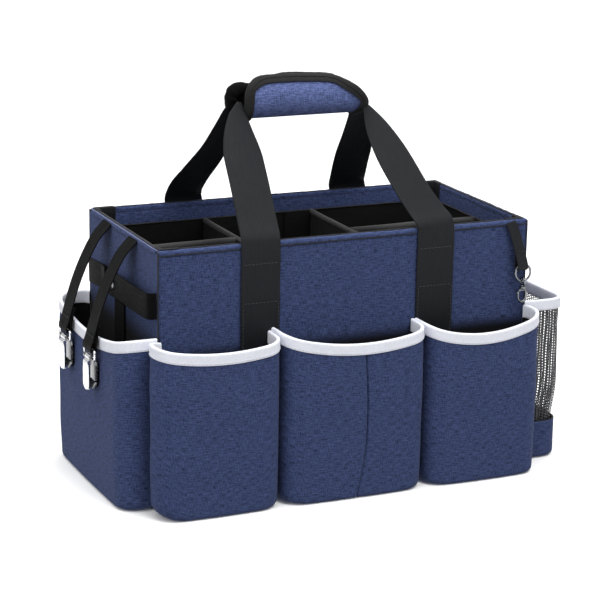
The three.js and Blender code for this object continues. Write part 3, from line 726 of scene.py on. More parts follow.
def add_seam_cords():
    """Dark cords down each corner and along the rim, the thick one on the left rim's top being painted shade,
    and paler edging on the linings; the pale line along the left rim is a painted highlight.
    """
    shape = Shape()
    for sx in (-1, 1):
        for sy in (-1, 1):
            height = np.linspace(2, HEIGHT - 1.5, 60)
            sway = np.array([0.15 * wander(z / 20, sx, sy) for z in height])
            line = np.stack([sx * (HALF_L - 0.55 + sway), sy * (HALF_W - 0.55 + sway), height], axis=1)
            shape.grid(tube_grid(line, 0.75, 8), wrap=True, caps=True)
    for seed, (sign, long_wall, depth, drop, radius) in enumerate(RIM_CORDS_AND_SHADE):
        half = (HALF_L if long_wall else HALF_W) - 1 - depth
        along = np.linspace(-half, half, 160)
        sway = [0.45 * wander(a / 33, sign + 3, 0) + 0.35 * wander(a / 5.5, seed, depth) for a in along]
        line = [wall_place(sign, long_wall)(a, depth, HEIGHT - drop - 0.3 + w) for a, w in zip(along, sway)]
        shape.grid(tube_grid(line, radius, 8), wrap=True, caps=True)
    shape.make("seam_cords", "black_thread", "caddy")
    shape = Shape()
    for name, sign, long_wall in WALLS:
        half, top = (HALF_L if long_wall else HALF_W) - 8, corners_mm(f"{name}_lining")[1][2]
        line = [wall_place(sign, long_wall)(a, PANEL + 0.5, top + 0.3 * wander(a / 12, sign, half))
                for a in np.linspace(-half, half, 120)]
        shape.grid(tube_grid(line, 0.55, 6), wrap=True, caps=True)
    shape.make("lining_edging", "piping", "caddy")
    # a pale line along the left rim's top edge: painted highlight
    place = wall_place(-1, False)
    edge = [place(a, 1.0, HEIGHT - 0.4 + 0.35 * wander(a / 9, 4, 1))
            for a in np.linspace(3 - HALF_W, HALF_W - 3, 120)]
    Shape().grid(tube_grid(edge, 0.4, 6), wrap=True, caps=True).make("left_rim_highlight_line", "edging", "caddy")


# the folded strip's section, as how far it is from the corner along each of the two walls
CORNER_SECTION = [
    (0, 0.9), (0.3, 0.3), (0.9, 0), (4, 0), (8, 0.05), (11.6, 0), (12, 0.3), (11.7, 0.75), (8, 0.8),
    (4, 0.85), (1.8, 1.1), (1.1, 1.8), (0.85, 4), (0.8, 8), (0.75, 11.7), (0.3, 12), (0, 11.6), (0.05, 8),
    (0, 4),
]


CORNER_STRETCH = 1.5  # the strip is wider along the long walls
CORNER_TOP = ((0.4, 240.3), (1.6, 240.9), (3.0, 240.8), (3.9, 240.4))  # outwards and up, over the rim


def add_corner_strips():
    for depth_name, sy in (("front", -1), ("back", 1)):
        for side_name, sx in (("left", -1), ("right", 1)):
            name = f"corner_strip_{depth_name}_{side_name}"
            low, high = corners_mm(name)
            x, y = max(abs(low[0]), abs(high[0])), max(abs(low[1]), abs(high[1]))
            rings = []
            for z in np.linspace(low[2], 239.2, 40):
                bend = 0.12 * wander(z / 9, sx, sy)
                rings.append([(sx * (x - a * CORNER_STRETCH), sy * (y - b), z + bend)
                              for a, b in CORNER_SECTION])
            for over, z in CORNER_TOP:
                rings.append([(sx * (x + over - a * CORNER_STRETCH), sy * (y + over - b), z)
                              for a, b in CORNER_SECTION])
            Shape().grid(rings, wrap=True, caps=True).make(f"{name}_tape", "webbing", "caddy", [name])


# ---- pockets -------------------------------------------------------------------------------------
def bezier(start, control, end, count):
    t = np.linspace(0, 1, count)[:, None]
    return (1 - t) ** 2 * np.array(start) + 2 * t * (1 - t) * np.array(control) + t ** 2 * np.array(end)


def pocket_plan(spec, count, extra=()):
    """The pocket's outline on the wall's plan, as (along, out) pairs from one seam to the other."""
    left, right = spec["from"] - spec["bulge"][0], spec["to"] + spec["bulge"][1]
    depth, corner, crown = spec["depth"], 21, 2
    line = np.concatenate([
        bezier((spec["from"], 0), (left, 0.1 * depth), (left, depth - corner), 30),
        bezier((left, depth - corner), (left, depth), (left + corner, depth), 40)[1:],
        bezier((left + corner, depth), ((left + right) / 2, depth + crown), (right - corner, depth), 60)[1:],
        bezier((right - corner, depth), (right, depth), (right, depth - corner), 40)[1:],
        bezier((right, depth - corner), (right, 0.1 * depth), (spec["to"], 0), 30)[1:],
    ])
    along = np.concatenate([[0], np.cumsum(np.linalg.norm(np.diff(line, axis=0), axis=1))])
    at = np.unique(np.concatenate([np.linspace(0, along[-1], count)] + [
        np.interp([x], line[40:-40, 0], along[40:-40]) for x in extra]))
    return np.stack([np.interp(at, along, line[:, k]) for k in range(2)], axis=1)


def rim_height(spec, x):
    left, right = spec["from"] - spec["bulge"][0], spec["to"] + spec["bulge"][1]
    t = (x - left) / (right - left)
    low, high, dip = spec["rim"]
    return low + (high - low) * t - 4 * dip * t * (1 - t)


def plan_out(plan):
    """Unit vectors that point out of the pocket, level with the floor."""
    line = np.gradient(plan, axis=0)
    return unit(np.stack([-line[:, 1], line[:, 0]], axis=1))


FRONT_FOOT, CORNER_REACH = 3.0, 26


def foot_radius(spec, plan):
    """The bottom's rounding: small along the front and wide at the two corners."""
    left, right = plan[:, 0].min(), plan[:, 0].max()
    near = np.minimum(plan[:, 0] - left, right - plan[:, 0])
    wide = np.where(plan[:, 0] < (left + right) / 2, spec["foot"][0], spec["foot"][1])
    share = np.clip(1 - near / CORNER_REACH, 0, 1)
    return FRONT_FOOT + (wide - FRONT_FOOT) * share ** 2 * (3 - 2 * share)


GROUND = 0.85  # how far the pockets' cloth stands off the floor, for its thickness


def pocket_rows(spec, to_world, top_drop):
    """A pocket's cloth, from the wall's foot along the bottom, round the foot's bend and up to the rim."""
    plan = pocket_plan(spec, spec.get("count", 84), spec.get("extra", ()))
    out = plan_out(plan)
    foot = foot_radius(spec, plan)
    top = rim_height(spec, plan[:, 0]) - top_drop
    wall_x = np.linspace(plan[0, 0], plan[-1, 0], len(plan))
    rows = []
    inner = plan - out * foot[:, None]
    inner[:, 1] = np.maximum(inner[:, 1], 0.05)
    ends = 1.4 * np.clip(1.3 - plan[:, 1] / 15, 0, 1)
    for share in (0.0, 0.35, 0.7, 0.9):
        flat = np.stack([wall_x, np.zeros(len(plan))], axis=1) * (1 - share) + inner * share
        rows.append((flat, GROUND + np.maximum(ends, 1.4 if share == 0 else 0)))
    for angle in np.radians([90, 72, 54, 36, 18]):
        inset = plan - out * (foot * (1 - math.cos(angle)))[:, None]
        inset[:, 1] = np.maximum(inset[:, 1], 0.05)
        rows.append((inset, GROUND + ends * math.sin(angle) + foot * (1 - math.sin(angle))))
    start = GROUND + foot
    for share in np.linspace(0, 1, 26):
        rows.append((plan, start + (top - start) * share))
    grid = []
    for flat, height in rows:
        body = np.clip((height - 4) / 40, 0, 1) * np.clip((top + 8 - height) / 50, 0, 1)
        deep = np.clip(flat[:, 1] / 12, 0, 1)
        soft = np.array([wander(x / 34 + spec["seed"], z / 42, spec["seed"]) * 0.9
                         + wander(x / 13, z / 15 + spec["seed"], 2) * 0.3
                         for x, z in zip(flat[:, 0], height)])
        push = (spec["belly"] * body + soft * body * 0.8) * deep
        if "seam" in spec:
            push = push - seam_dent(spec["seam"], flat[:, 0], height) * (flat[:, 1] > 20)
        moved = flat + out * push[:, None]
        grid.append([to_world(x, d, z) for (x, d), z in zip(moved, height)])
    return grid


def seam_dent(seam, x, z):
    """A sewn seam: a narrow cleft, with the cloth on its right standing a little lower."""
    off = x - seam_x(seam, z)
    return 2.3 * np.exp(-(off / 0.8) ** 2) + 0.6 * np.clip(1 - np.abs(off - 3) / 5, 0, 1)


def seam_x(seam, z):
    return seam["x"] + seam["bow"] * np.sin(math.pi * np.clip((z - 5) / 150, 0, 1)) \
        - seam["sway"] * np.clip(1 - z / 60, 0, 1) ** 2


# (across, drop) round the tape folded over a pocket's rim, from its outer edge to its inner one
BINDING_SECTION = [
    (1.7, -10.7), (2.0, -10.6), (2.1, -10.2), (2.1, -9.4), (2.1, -6.0), (2.1, -2.6), (2.1, -1.5),
    (1.85, -0.7), (1.2, -0.2), (0.2, -0.05), (-0.9, -0.2), (-1.6, -0.7), (-1.9, -1.6), (-1.9, -5.0),
    (-1.9, -9.0), (-2.0, -11.6), (-1.7, -12.2), (-1.15, -11.7), (-1.15, -3.0), (0.0, -2.2), (1.35, -3.0),
    (1.35, -10.2),
]


def binding_grid(spec, to_world, wall):
    plan = pocket_plan(spec, 100)
    out = plan_out(plan)
    top = rim_height(spec, plan[:, 0])
    rings = []
    for k, ((x, d), (ox, od), z) in enumerate(zip(plan, out, top)):
        ring = []
        for across, drop in BINDING_SECTION:
            flare = 0.25 * wander(k / 4, drop / 6, spec["seed"])
            thick = across + (flare if drop < -3 else 0)
            push = thick - wall / 2 if across > 0 else thick - wall / 2 + 0.3
            ring.append(to_world(x + ox * push, max(d + od * push, 0.1), z + drop + 0.2 * flare))
        rings.append(ring)
    return rings


def pocket_line(spec, to_world, drop, push):
    """A line of stitching under the rim, with the way it stands off."""
    plan = pocket_plan(spec, 90)
    out = plan_out(plan)
    keep = plan[:, 1] > 2.5
    line = np.array([to_world(x, d, z - drop) for (x, d), z in zip(plan + out * push,
                                                                   rim_height(spec, plan[:, 0]))])
    ahead = np.array([np.subtract(to_world(x + a, d + b, 0), to_world(x, d, 0))
                      for (x, d), (a, b) in zip(plan, out)])
    return line[keep], ahead[keep]


def front_place(x, d, z):
    return (x, POCKET_FACE - d, z)


def left_place(x, d, z):
    return (-(HALF_L + 0.3) - d, -x, z)


def right_place(x, d, z):
    return (HALF_L + 0.3 + d, x, z)


# Where each pocket is sewn along its wall, and how far its sides bulge past that. `rim` is the height at its
# two sides and the dip between them, `foot` the rounding of its lower corners, and `belly` its swell.
FRONT_POCKETS = {
    "left": {"from": -184, "to": -78, "bulge": (13, -0.5), "rim": (161, 158.5, 6.5), "foot": (15, 7),
             "seed": 0.3, "belly": 0.9, "depth": 35.5},
    "center": {"from": -76, "to": 66, "bulge": (-0.5, -0.5), "rim": (161, 155.5, 10), "foot": (9, 6.5),
               "seed": 1.9, "belly": 0.9, "depth": 35.5, "count": 96,
               "seam": {"x": -0.5, "bow": 4.5, "sway": 4.5}, "extra": np.arange(-10, 9, 0.45)},
    "right": {"from": 68, "to": 184, "bulge": (-0.5, 2), "rim": (155.5, 158, 11.5), "foot": (7, 4.5),
              "seed": 3.1, "belly": 0.9, "depth": 35.5},
}
END_POCKET = {"from": -92, "to": 92, "bulge": (3, 0), "rim": (160, 161, 12), "foot": (6, 6),
              "seed": 5.3, "belly": 1.2, "depth": 34, "count": 96}
MESH_POCKET = {"from": -92, "to": 92, "bulge": (2, 2), "rim": (160, 160, 2), "foot": (4, 4),
               "seed": 7.7, "belly": 0.3, "depth": 45, "count": 110}
BAND_HEIGHT = 37.5
CLOTH, BAND_CLOTH, POCKET_WALL, NET_WALL = 1.8, 1.6, 2.0, 1.2


def line_cloth(piece, thick):
    """Gives a pocket its black inner face."""
    solid = piece.modifiers.new("inside", "SOLIDIFY")
    solid.thickness = thick * MM
    solid.offset = -1
    solid.material_offset = 1
    solid.material_offset_rim = 1


def add_sheet(name, rows, look, node_name, toward, thick=None):
    """One sheet of cloth, facing `toward` on average, with a black inner face if it has a thickness."""
    second = "lining" if thick else None
    piece = Shape().grid(rows).make(name, look, "caddy", [node_name], second=second, closed=False)
    total = sum((face.normal * face.area for face in piece.data.polygons), Vector((0, 0, 0)))
    if total.dot(Vector(toward)) < 0:
        piece.data.flip_normals()
    if thick:
        line_cloth(piece, thick)
    return piece


def add_cloth_pocket(name, spec, to_world, toward):
    piece = add_sheet(f"{name}_cloth", pocket_rows(spec, to_world, 2.5), "navy", name, toward, CLOTH)
    add_binding(name, spec, to_world, POCKET_WALL)
    perimeter = np.linalg.norm(np.diff(pocket_plan(spec, 90), axis=0), axis=1).sum() * MM
    tall = (rim_height(spec, (spec["from"] + spec["to"]) / 2) + spec["depth"] * 0.5) * MM


def add_binding(name, spec, to_world, wall):
    Shape().grid(binding_grid(spec, to_world, wall), wrap=True, caps=True).make(
        f"{name}_binding_tape", "white", "caddy", [f"{name}_binding"])
    rows = [pocket_line(spec, to_world, 8.9, 2.1 - wall / 2)]
    stitches(f"{name}_binding_stitching", rows, "white_thread", "caddy", 0.28)


def add_pockets():
    for side, spec in FRONT_POCKETS.items():
        add_cloth_pocket(f"front_pocket_{side}", spec, front_place, (0, -1, 0))
    add_cloth_pocket("end_pocket", END_POCKET, left_place, (-1, 0, 0))
    add_mesh_pocket()


def add_mesh_pocket():
    spec = MESH_POCKET
    plan = pocket_plan(spec, 150)
    out = plan_out(plan)
    top = rim_height(spec, plan[:, 0]) - 4
    along = range(len(plan))
    low = BAND_HEIGHT - 3.5
    rows = []
    for share in np.linspace(0, 1, 44):
        z = low + (top - low) * share
        tuck = 7.0 * math.exp(-(share / 0.22) ** 2) * np.clip(plan[:, 1] / 20, 0, 1)
        gather = np.array([wander(k / 2.6, share * 1.6, 4) for k in along]) * 1.3 * (1 - share) ** 0.7
        soft = np.array([wander(k / 15, share * 3, 9) for k in along]) * 1.4 * math.sin(math.pi * share)
        push = (gather + soft) * np.clip(plan[:, 1] / 10, 0, 1) - tuck * 0.6
        moved = plan + out * push[:, None]
        rows.append([right_place(x, max(d, 0.4), h) for (x, d), h in zip(moved, z)])
    net = add_sheet("mesh_pocket_net", rows, "net", "mesh_pocket", (1, 0, 0))
    rows = pocket_rows(dict(spec, rim=(BAND_HEIGHT, BAND_HEIGHT, 0), belly=0.0), right_place, 0.0)
    band = add_sheet("mesh_pocket_band_cloth", rows, "navy", "mesh_pocket_band", (1, 0, 0), BAND_CLOTH)
    add_binding("mesh_pocket", spec, right_place, NET_WALL)


# ---- dividers ------------------------------------------------------------------------------------
PANEL_HALF = 1.75
CROSS_DIVIDERS = (("cross_divider_left", -70, 1), ("cross_divider_right", 43, -1))  # x and the flaps' side
LONG_DIVIDER_Y = 1
CROSS_ROLL, LONG_ROLL = 1.9, 3.4


def divider_profile(half, top, low, roll):
    """A padded panel's section: flat sides and a rounded top that is `roll` thick."""
    tall = roll * 1.35
    side = [(half, low), (half + 0.25, low + 30), (half + 0.35, (low + top) / 2), (half + 0.15, top - 16),
            (half - 0.4, top - 2 * tall - 1.2), (roll * 0.7, top - 2 * tall + 0.4)]
    right = side + [(roll * math.cos(a), top - tall + tall * math.sin(a))
                    for a in np.radians([-45, -15, 15, 45, 70, 90])]
    return right + [(-t, z) for t, z in reversed(right[:-1])]


def add_divider(name, along, to_world, roll, flaps):
    """A padded panel with a flap of pile tape at each end, and a tape along its top whose grey is a painted
    highlight on the lit top of the black roll.
    """
    low, high = corners_mm(name)
    profile = divider_profile(PANEL_HALF, high[2], low[2], roll)
    shape = Shape()
    rings = []
    for a in along:
        near = min(a - along[0], along[-1] - a)
        thin = min(1.0, 0.55 + near / 6)
        ring = []
        for t, z in profile:
            wave = 0.35 * wander(a / 24, z / 40, along[0])
            dip = 0.7 * wander(a / 40, along[0], 3) if z > high[2] - 20 else 0
            ring.append(to_world(t * thin + wave, a, z + dip - 0.7))
        rings.append(ring)
    shape.grid(rings, wrap=True, caps=True, turned=True)
    for a_face, t0, t1 in flaps:
        across = np.linspace(t0, t1, 9)
        up = np.linspace(low[2], high[2] - 1.5, 24)
        inside = 1 if a_face > (along[0] + along[-1]) / 2 else -1
        def sheet_row(z, depth):
            return [to_world(t, a_face - inside * (depth + 0.15 * wander(t / 9, z / 21, a_face)), z)
                    for t in across]
        front = [sheet_row(z, 0.25) for z in up]
        back = [sheet_row(z, 1.15) for z in reversed(up)]
        shape.grid(front + back, loop=True)
    piece = shape.make(f"{name}_pad", "lining", name, [name])
    tape = []
    for a in np.linspace(along[0] + 0.3, along[-1] - 0.3, 60):
        dip = 0.7 * wander(a / 40, along[0], 3) + 0.12 * wander(a / 3, 1, along[0])
        wave = 0.35 * wander(a / 24, high[2] / 40, along[0])
        reach = roll + 0.2
        outer = [(reach * math.cos(g), reach * 1.25 * math.sin(g))
                 for g in np.radians(np.linspace(-52, 232, 19))]
        inner = [(t * (1 - 0.45 / reach), z * (1 - 0.45 / reach)) for t, z in reversed(outer)]
        tape.append([to_world(t + wave, a, high[2] - roll * 1.35 + z + dip - 0.5) for t, z in outer + inner])
    # the top tape is a real tape whose grey is a painted highlight on the lit top of the black padded roll
    Shape().grid(tape, wrap=True, caps=True, turned=True).make(f"{name}_top_tape", "piping", name)


def add_dividers():
    for name, x, sign in CROSS_DIVIDERS:
        low, high = corners_mm(name)
        along = np.linspace(low[1], high[1], 34)
        flap = (sign * 2, sign * 28.8)
        add_divider(name, along, lambda t, a, z, x=x: (x + t, a, z), CROSS_ROLL,
                    [(low[1], *flap), (high[1], *flap)])
    for name in ("long_divider_left", "long_divider_right"):
        low, high = corners_mm(name)
        along = np.linspace(low[0], high[0], 26)
        add_divider(name, along, lambda t, a, z: (a, LONG_DIVIDER_Y + t, z), LONG_ROLL,
                    [(low[0], -2, -19.8), (high[0], -2, -19.8)])


# ---- handle --------------------------------------------------------------------------------------
HINGE_Y, HINGE_Z = 95.2, 239.4
SLOPE = math.atan2(90.2, 112.6)
HANDLE_WIDTH, HANDLE_THICK = 38, 1.7
HANDLE_X = {"left": -87.5, "right": 87.5}
TAIL_Y, TAIL_LOW, TAIL_HIGH = 94.2, 14, 232
STITCH_Y = 95.1
# each leg's left and right edge as (x, height up the slope) pairs
LEGS = {
    "front": {
        "left": ([(-106.5, 1), (-105.5, 25), (-104.5, 60), (-102, 88), (-96.5, 110), (-87.5, 129), (-80, 138),
                  (-75.5, 143)],
                 [(-68.5, 1), (-66.8, 20), (-65, 42), (-64, 64), (-64.8, 90), (-67.3, 112), (-69.5, 130),
                  (-70.5, 141.8)]),
        "right": ([(68.5, 1), (67.8, 6), (64.5, 17), (59.5, 31), (54.6, 46), (47.5, 74), (45, 96),
                   (45.5, 110), (47.5, 123), (50, 134)],
                  [(106.5, 1), (105, 7), (100.5, 18), (94.5, 32), (90, 47), (84.5, 68), (78.5, 87.5),
                   (69.5, 109), (60.5, 124), (52.5, 134.5)]),
    },
    "rear": {
        "left": ([(-108.5, 1), (-108.5, 22), (-101, 42), (-89.5, 74), (-84, 105), (-81, 127), (-78, 138)],
                 [(-70.5, 1), (-72.5, 15), (-70, 33), (-63, 60), (-60, 85), (-62, 112), (-68, 130),
                  (-71, 136)]),
        "right": ([(66, 1), (61.6, 16), (57.5, 50), (56, 80), (54, 107), (50.4, 130)],
                  [(104, 1), (98, 34), (94, 58), (88, 82), (78, 108), (66, 128), (59, 141)]),
    },
}


def add_handle_leg(side, sign, name):
    """The tail on the wall and the loop's leg above it: one strap, which bends at the rim."""
    x = HANDLE_X[name]
    tail = [(x, sign * (TAIL_Y + 1.4 * math.exp(-((238 - z) / 13) ** 2)), z)
            for z in np.linspace(TAIL_LOW, TAIL_HIGH, 40)]
    left, right = (spline(edge, 46) for edge in LEGS[side][name])
    middle, chord = (left + right) / 2, np.linalg.norm(right - left, axis=1)
    rise = middle[:, 1]
    camber = 1.2 * np.sin(math.pi * np.clip(rise / 140, 0, 1)) + 2.4 * np.exp(-(rise / 11) ** 2)
    upper = np.stack([
        middle[:, 0],
        sign * (HINGE_Y - rise * math.sin(SLOPE) + camber * math.cos(SLOPE)),
        HINGE_Z + rise * math.cos(SLOPE) + camber * math.sin(SLOPE),
    ], axis=1)
    run, climb = (right - left).T
    across = np.stack([run, -sign * climb * math.sin(SLOPE), climb * math.cos(SLOPE)], axis=1)
    path = np.concatenate([tail, upper])
    side_vectors = np.concatenate([[(1, 0, 0)] * len(tail), unit(across)])
    widths = np.concatenate([np.full(len(tail), float(HANDLE_WIDTH)), np.minimum(HANDLE_WIDTH, chord * 1.01)])
    roll = 0.55 * np.clip((rise - 30) / 90, 0, 1)
    ease = np.convolve(np.pad(path, ((3, 3), (0, 0)), mode="edge")[:, 1], np.ones(7) / 7, "valid")
    join = len(tail)
    path[join - 5:join + 7, 1] = ease[join - 5:join + 7]
    piece = strap(f"{side}_handle_strap_{name}", path, side_vectors, widths, HANDLE_THICK, "webbing", None,
                  [f"{side}_webbing_tail_{name}", f"{side}_handle_webbing"],
                  cup=-sign * np.concatenate([np.zeros(len(tail)), roll]), ride=False, crease=60)
    start, end = ((x * MM, sign * TAIL_Y * MM, z) for z in (0.234, 0.2445))
    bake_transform(piece)
    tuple(start)
    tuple(end)


def add_strap_stitching(side, sign, name):
    """Two rows across the tail, and a box and its sides lower down."""
    x, out = HANDLE_X[name], (0, sign, 0)
    low, tall, half, edge, seam = 16, 30, 16.5, 17, 185
    lines = [(np.linspace((x - half, sign * y, z), (x + half, sign * y, z), 6), out)
             for y, z in ((STITCH_Y, seam), (STITCH_Y + 0.5, 221))]
    box = [(x - half, low), (x + half, low), (x + half, low + tall), (x - half, low + tall), (x - half, low)]
    lines += [(np.linspace((ax, sign * STITCH_Y, az), (bx, sign * STITCH_Y, bz), 6), out)
              for (ax, az), (bx, bz) in zip(box, box[1:])]
    lines += [(np.linspace((side_x, sign * STITCH_Y, low), (side_x, sign * STITCH_Y, seam), 30), out)
              for side_x in (x - edge, x + edge)]
    stitches(f"{side}_strap_stitching_{name}", lines, "grey_thread", "caddy", 0.34)


def add_handle():
    for side, sign in (("front", -1), ("rear", 1)):
        for name in ("left", "right"):
            add_handle_leg(side, sign, name)
            add_strap_stitching(side, sign, name)
        add_grip_half(side, sign)
    # the rear strap's folded end, where it goes into the wrap
    fold = spline([(-75, 9.5, 345), (-76, 8.2, 352), (-74.5, 7.5, 358), (-70, 7, 361.5), (-63, 7, 361),
                   (-56, 7.5, 358)], 34)
    crumple = np.array([0.7 * wander(k / 3, 2, 5) for k in range(34)])
    fold[:, 2] += crumple
    # the fold takes the darker copy of the webbing: painted shade
    strap("rear_handle_fold", fold, (0.1, 1, 0), 27 + 3 * crumple, HANDLE_THICK, "webbing_shaded_copy", "rear_handle",
          cup=-3.9 + 0.5 * crumple, crease=60)


GRIP_Z, GRIP_HALF_Y, GRIP_HALF_Z = 353.2, 17, 21.2
GRIP_ANGLES = np.radians(np.linspace(-90, 90, 181))
GRIP_ARCS = arc_steps(np.stack([GRIP_HALF_Y * np.cos(GRIP_ANGLES), GRIP_HALF_Z * np.sin(GRIP_ANGLES)],
                               axis=1)[None], 1, False)
GRIP_GIRTH = GRIP_ARCS[-1]
# each half's outline as (x, height), from the underside's left end round to its right end
GRIP_LEFT = {
    "front": [(-70.6, 332.4), (-70.8, 340), (-70.8, 352), (-70, 361), (-66, 368.5), (-58, 373.2),
              (-47, 374.3)],
    "rear": [(-67.5, 332.4), (-68.5, 340), (-68.5, 349), (-66, 356), (-59, 362.5), (-48, 368.5),
             (-34, 372.8)],
}
GRIP_RIGHT = [(-20, 374.35), (8, 374.35), (22, 374.0), (34, 370.2), (44, 363.5), (51, 354.5), (54, 346),
              (51.5, 338), (47.5, 332.4)]
TAPE_HOLD = 6.5  # how far in from the outline the binding holds the pad
PAD_INSET, PAD_DEPTH = 1.6, 6.0
PAD_VOXEL, PAD_SWELL = 0.0028, 0.0022
PAD_PRESSURE, PAD_FRAMES = 4, 20


def grip_point(sign, x, arc, lift):
    """A place on the grip's oval: `arc` is how far round it from the underside, and `lift` how far off it."""
    angle = np.interp(arc, GRIP_ARCS, GRIP_ANGLES)
    normal = unit(np.array([math.cos(angle) / GRIP_HALF_Y, math.sin(angle) / GRIP_HALF_Z]))
    y = 0.25 + GRIP_HALF_Y * math.cos(angle) + lift * normal[0]
    fall = max(0.0, x + 20) * 0.065 * (1 + math.sin(angle)) / 2
    return (x, sign * max(y, 0.25), GRIP_Z + GRIP_HALF_Z * math.sin(angle) + lift * normal[1] - fall)


def grip_outline(side, count):
    """The half's outline as (x, arc) pairs."""
    points = GRIP_LEFT[side] + GRIP_RIGHT
    angles = [math.asin(max(-1.0, min(1.0, (z - GRIP_Z) / GRIP_HALF_Z))) for _, z in points]
    arcs = np.interp(angles, GRIP_ANGLES, GRIP_ARCS)
    return spline([(x, arc) for (x, _), arc in zip(points, arcs)], count)


def add_grip_half(side, sign):
    outline = grip_outline(side, 200)
    top = outline[:, 1].argmax()
    left, right = outline[:top + 1], outline[top:][::-1]
    arcs = np.linspace(0.4, GRIP_GIRTH - 1.2, 26)
    outer, inner = [], []
    for arc in arcs:
        xs = np.linspace(np.interp(arc, left[:, 1], left[:, 0]) + PAD_INSET,
                         np.interp(arc, right[:, 1], right[:, 0]) - PAD_INSET, 56)
        outer.append([grip_point(sign, x, arc, -PAD_INSET) for x in xs])
        inner.append([grip_point(sign, x, arc, -PAD_DEPTH) for x in xs])
    pad = Shape().grid(np.array(outer + inner[::-1]), loop=True, ends=True).make(
        f"{side}_grip_padding", "grip", f"{side}_handle", [f"{side}_grip_pad"], crease=60)
    swell(pad, PAD_VOXEL, PAD_SWELL, lambda p: grip_hold(p, outline))
    add_grip_binding(side, sign)


def grip_hold(p, outline):
    """How firmly a point is held: fully under the tape and inside, and not at all on the open face."""
    x, y, z = (c / MM for c in p)
    inside = math.hypot(y / GRIP_HALF_Y, (z - GRIP_Z) / GRIP_HALF_Z) < 0.82
    angle = math.atan2((z - GRIP_Z) / GRIP_HALF_Z, abs(y) / GRIP_HALF_Y)
    arc = np.interp(angle, GRIP_ANGLES, GRIP_ARCS)
    near = np.hypot(outline[:, 0] - x, outline[:, 1] - arc).min()
    return 1.0 if inside or near < TAPE_HOLD or arc < 1.5 else max(0.0, 1 - (near - TAPE_HOLD) / 2)


def swell(piece, voxel, cap, hold):
    """Fills a pad: the remeshed cloth swells under pressure, no further than `cap`, and is then smoothed."""
    remesh = piece.modifiers.new("even", "REMESH")
    remesh.mode = "VOXEL"
    remesh.voxel_size = voxel
    bpy.context.view_layer.update()
    depsgraph = bpy.context.evaluated_depsgraph_get()
    even = bpy.data.meshes.new_from_object(piece.evaluated_get(depsgraph))
    piece.modifiers.clear()
    look = piece.data.materials[0]
    piece.data = even
    even.materials.clear()
    even.materials.append(look)
    start = np.array([v.co for v in even.vertices])
    held = piece.vertex_groups.new(name="held")
    for index, place in enumerate(start):
        held.add([index], hold(place), "REPLACE")
    cloth = piece.modifiers.new("cloth", "CLOTH")
    cloth.settings.use_pressure = True
    cloth.settings.uniform_pressure_force = PAD_PRESSURE
    cloth.settings.vertex_group_mass = "held"
    cloth.settings.effector_weights.gravity = 0
    scene = bpy.context.scene
    for step in range(PAD_FRAMES):
        scene.frame_set(step + 1)
    after = bpy.data.meshes.new_from_object(piece.evaluated_get(bpy.context.evaluated_depsgraph_get()))
    end = np.array([v.co for v in after.vertices])
    bpy.data.meshes.remove(after)
    piece.modifiers.clear()
    scene.frame_set(1)
    move = end - start
    reach = np.linalg.norm(move, axis=1, keepdims=True)
    move *= np.minimum(1, cap / np.maximum(reach, 1e-9))
    even.vertices.foreach_set("co", (start + move).ravel())
    for face in even.polygons:
        face.use_smooth = True
    fine = piece.modifiers.new("fine", "SUBSURF")
    fine.levels = 1
    fine.render_levels = 1


# (how far in from the outline, lift) round the tape's section
GRIP_TAPE = [
    (12.6, -0.3), (12.5, 0.15), (11.4, 0.4), (8.4, 0.4), (7.7, 0.35), (7.3, 0.95), (5.5, 1.05), (3.1, 0.95),
    (1.4, 0.45), (0.3, -0.4), (-0.1, -2.0), (0.2, -4.2), (1.2, -5.6), (3.1, -6.3), (5.8, -6.4), (11.8, -6.3),
    (11.8, -5.9), (4.6, -5.7), (2.2, -4.4), (2.0, -1.9), (4.6, -0.6),
]


def add_grip_binding(side, sign):
    """One tape up the left end, along the top and down the right end."""
    line = grip_outline(side, 150)
    steps = unit(np.gradient(line, axis=0))
    rings = []
    for k, ((x, arc), (dx, darc)) in enumerate(zip(line, steps)):
        ring = []
        narrow = 0.68 + 0.32 * np.clip((abs(dx) - 0.45) / 0.45, 0, 1)
        for across, lift in GRIP_TAPE:
            across *= narrow
            soft = 0.25 * wander(k / 3.5, across / 5, sign * 4)
            inward = min(max(arc - dx * across, 0.1), GRIP_GIRTH - 0.15)
            ring.append(grip_point(sign, x + darc * across, inward, lift + soft))
        rings.append(ring)
    Shape().grid(rings, wrap=True, caps=True).make(f"{side}_grip_binding", "tape", f"{side}_handle")


# ---- left wall: tool band and clip straps --------------------------------------------------------
BAND_X, BAND_Z, BAND_FALL, BAND_WIDTH = -186.0, 186, 0.06, 24


def band_path(plan, level=BAND_Z):
    """A level line of (x, y) pairs that falls a little towards the back."""
    return np.stack([plan[:, 0], plan[:, 1], level - BAND_FALL * plan[:, 1]], axis=1)


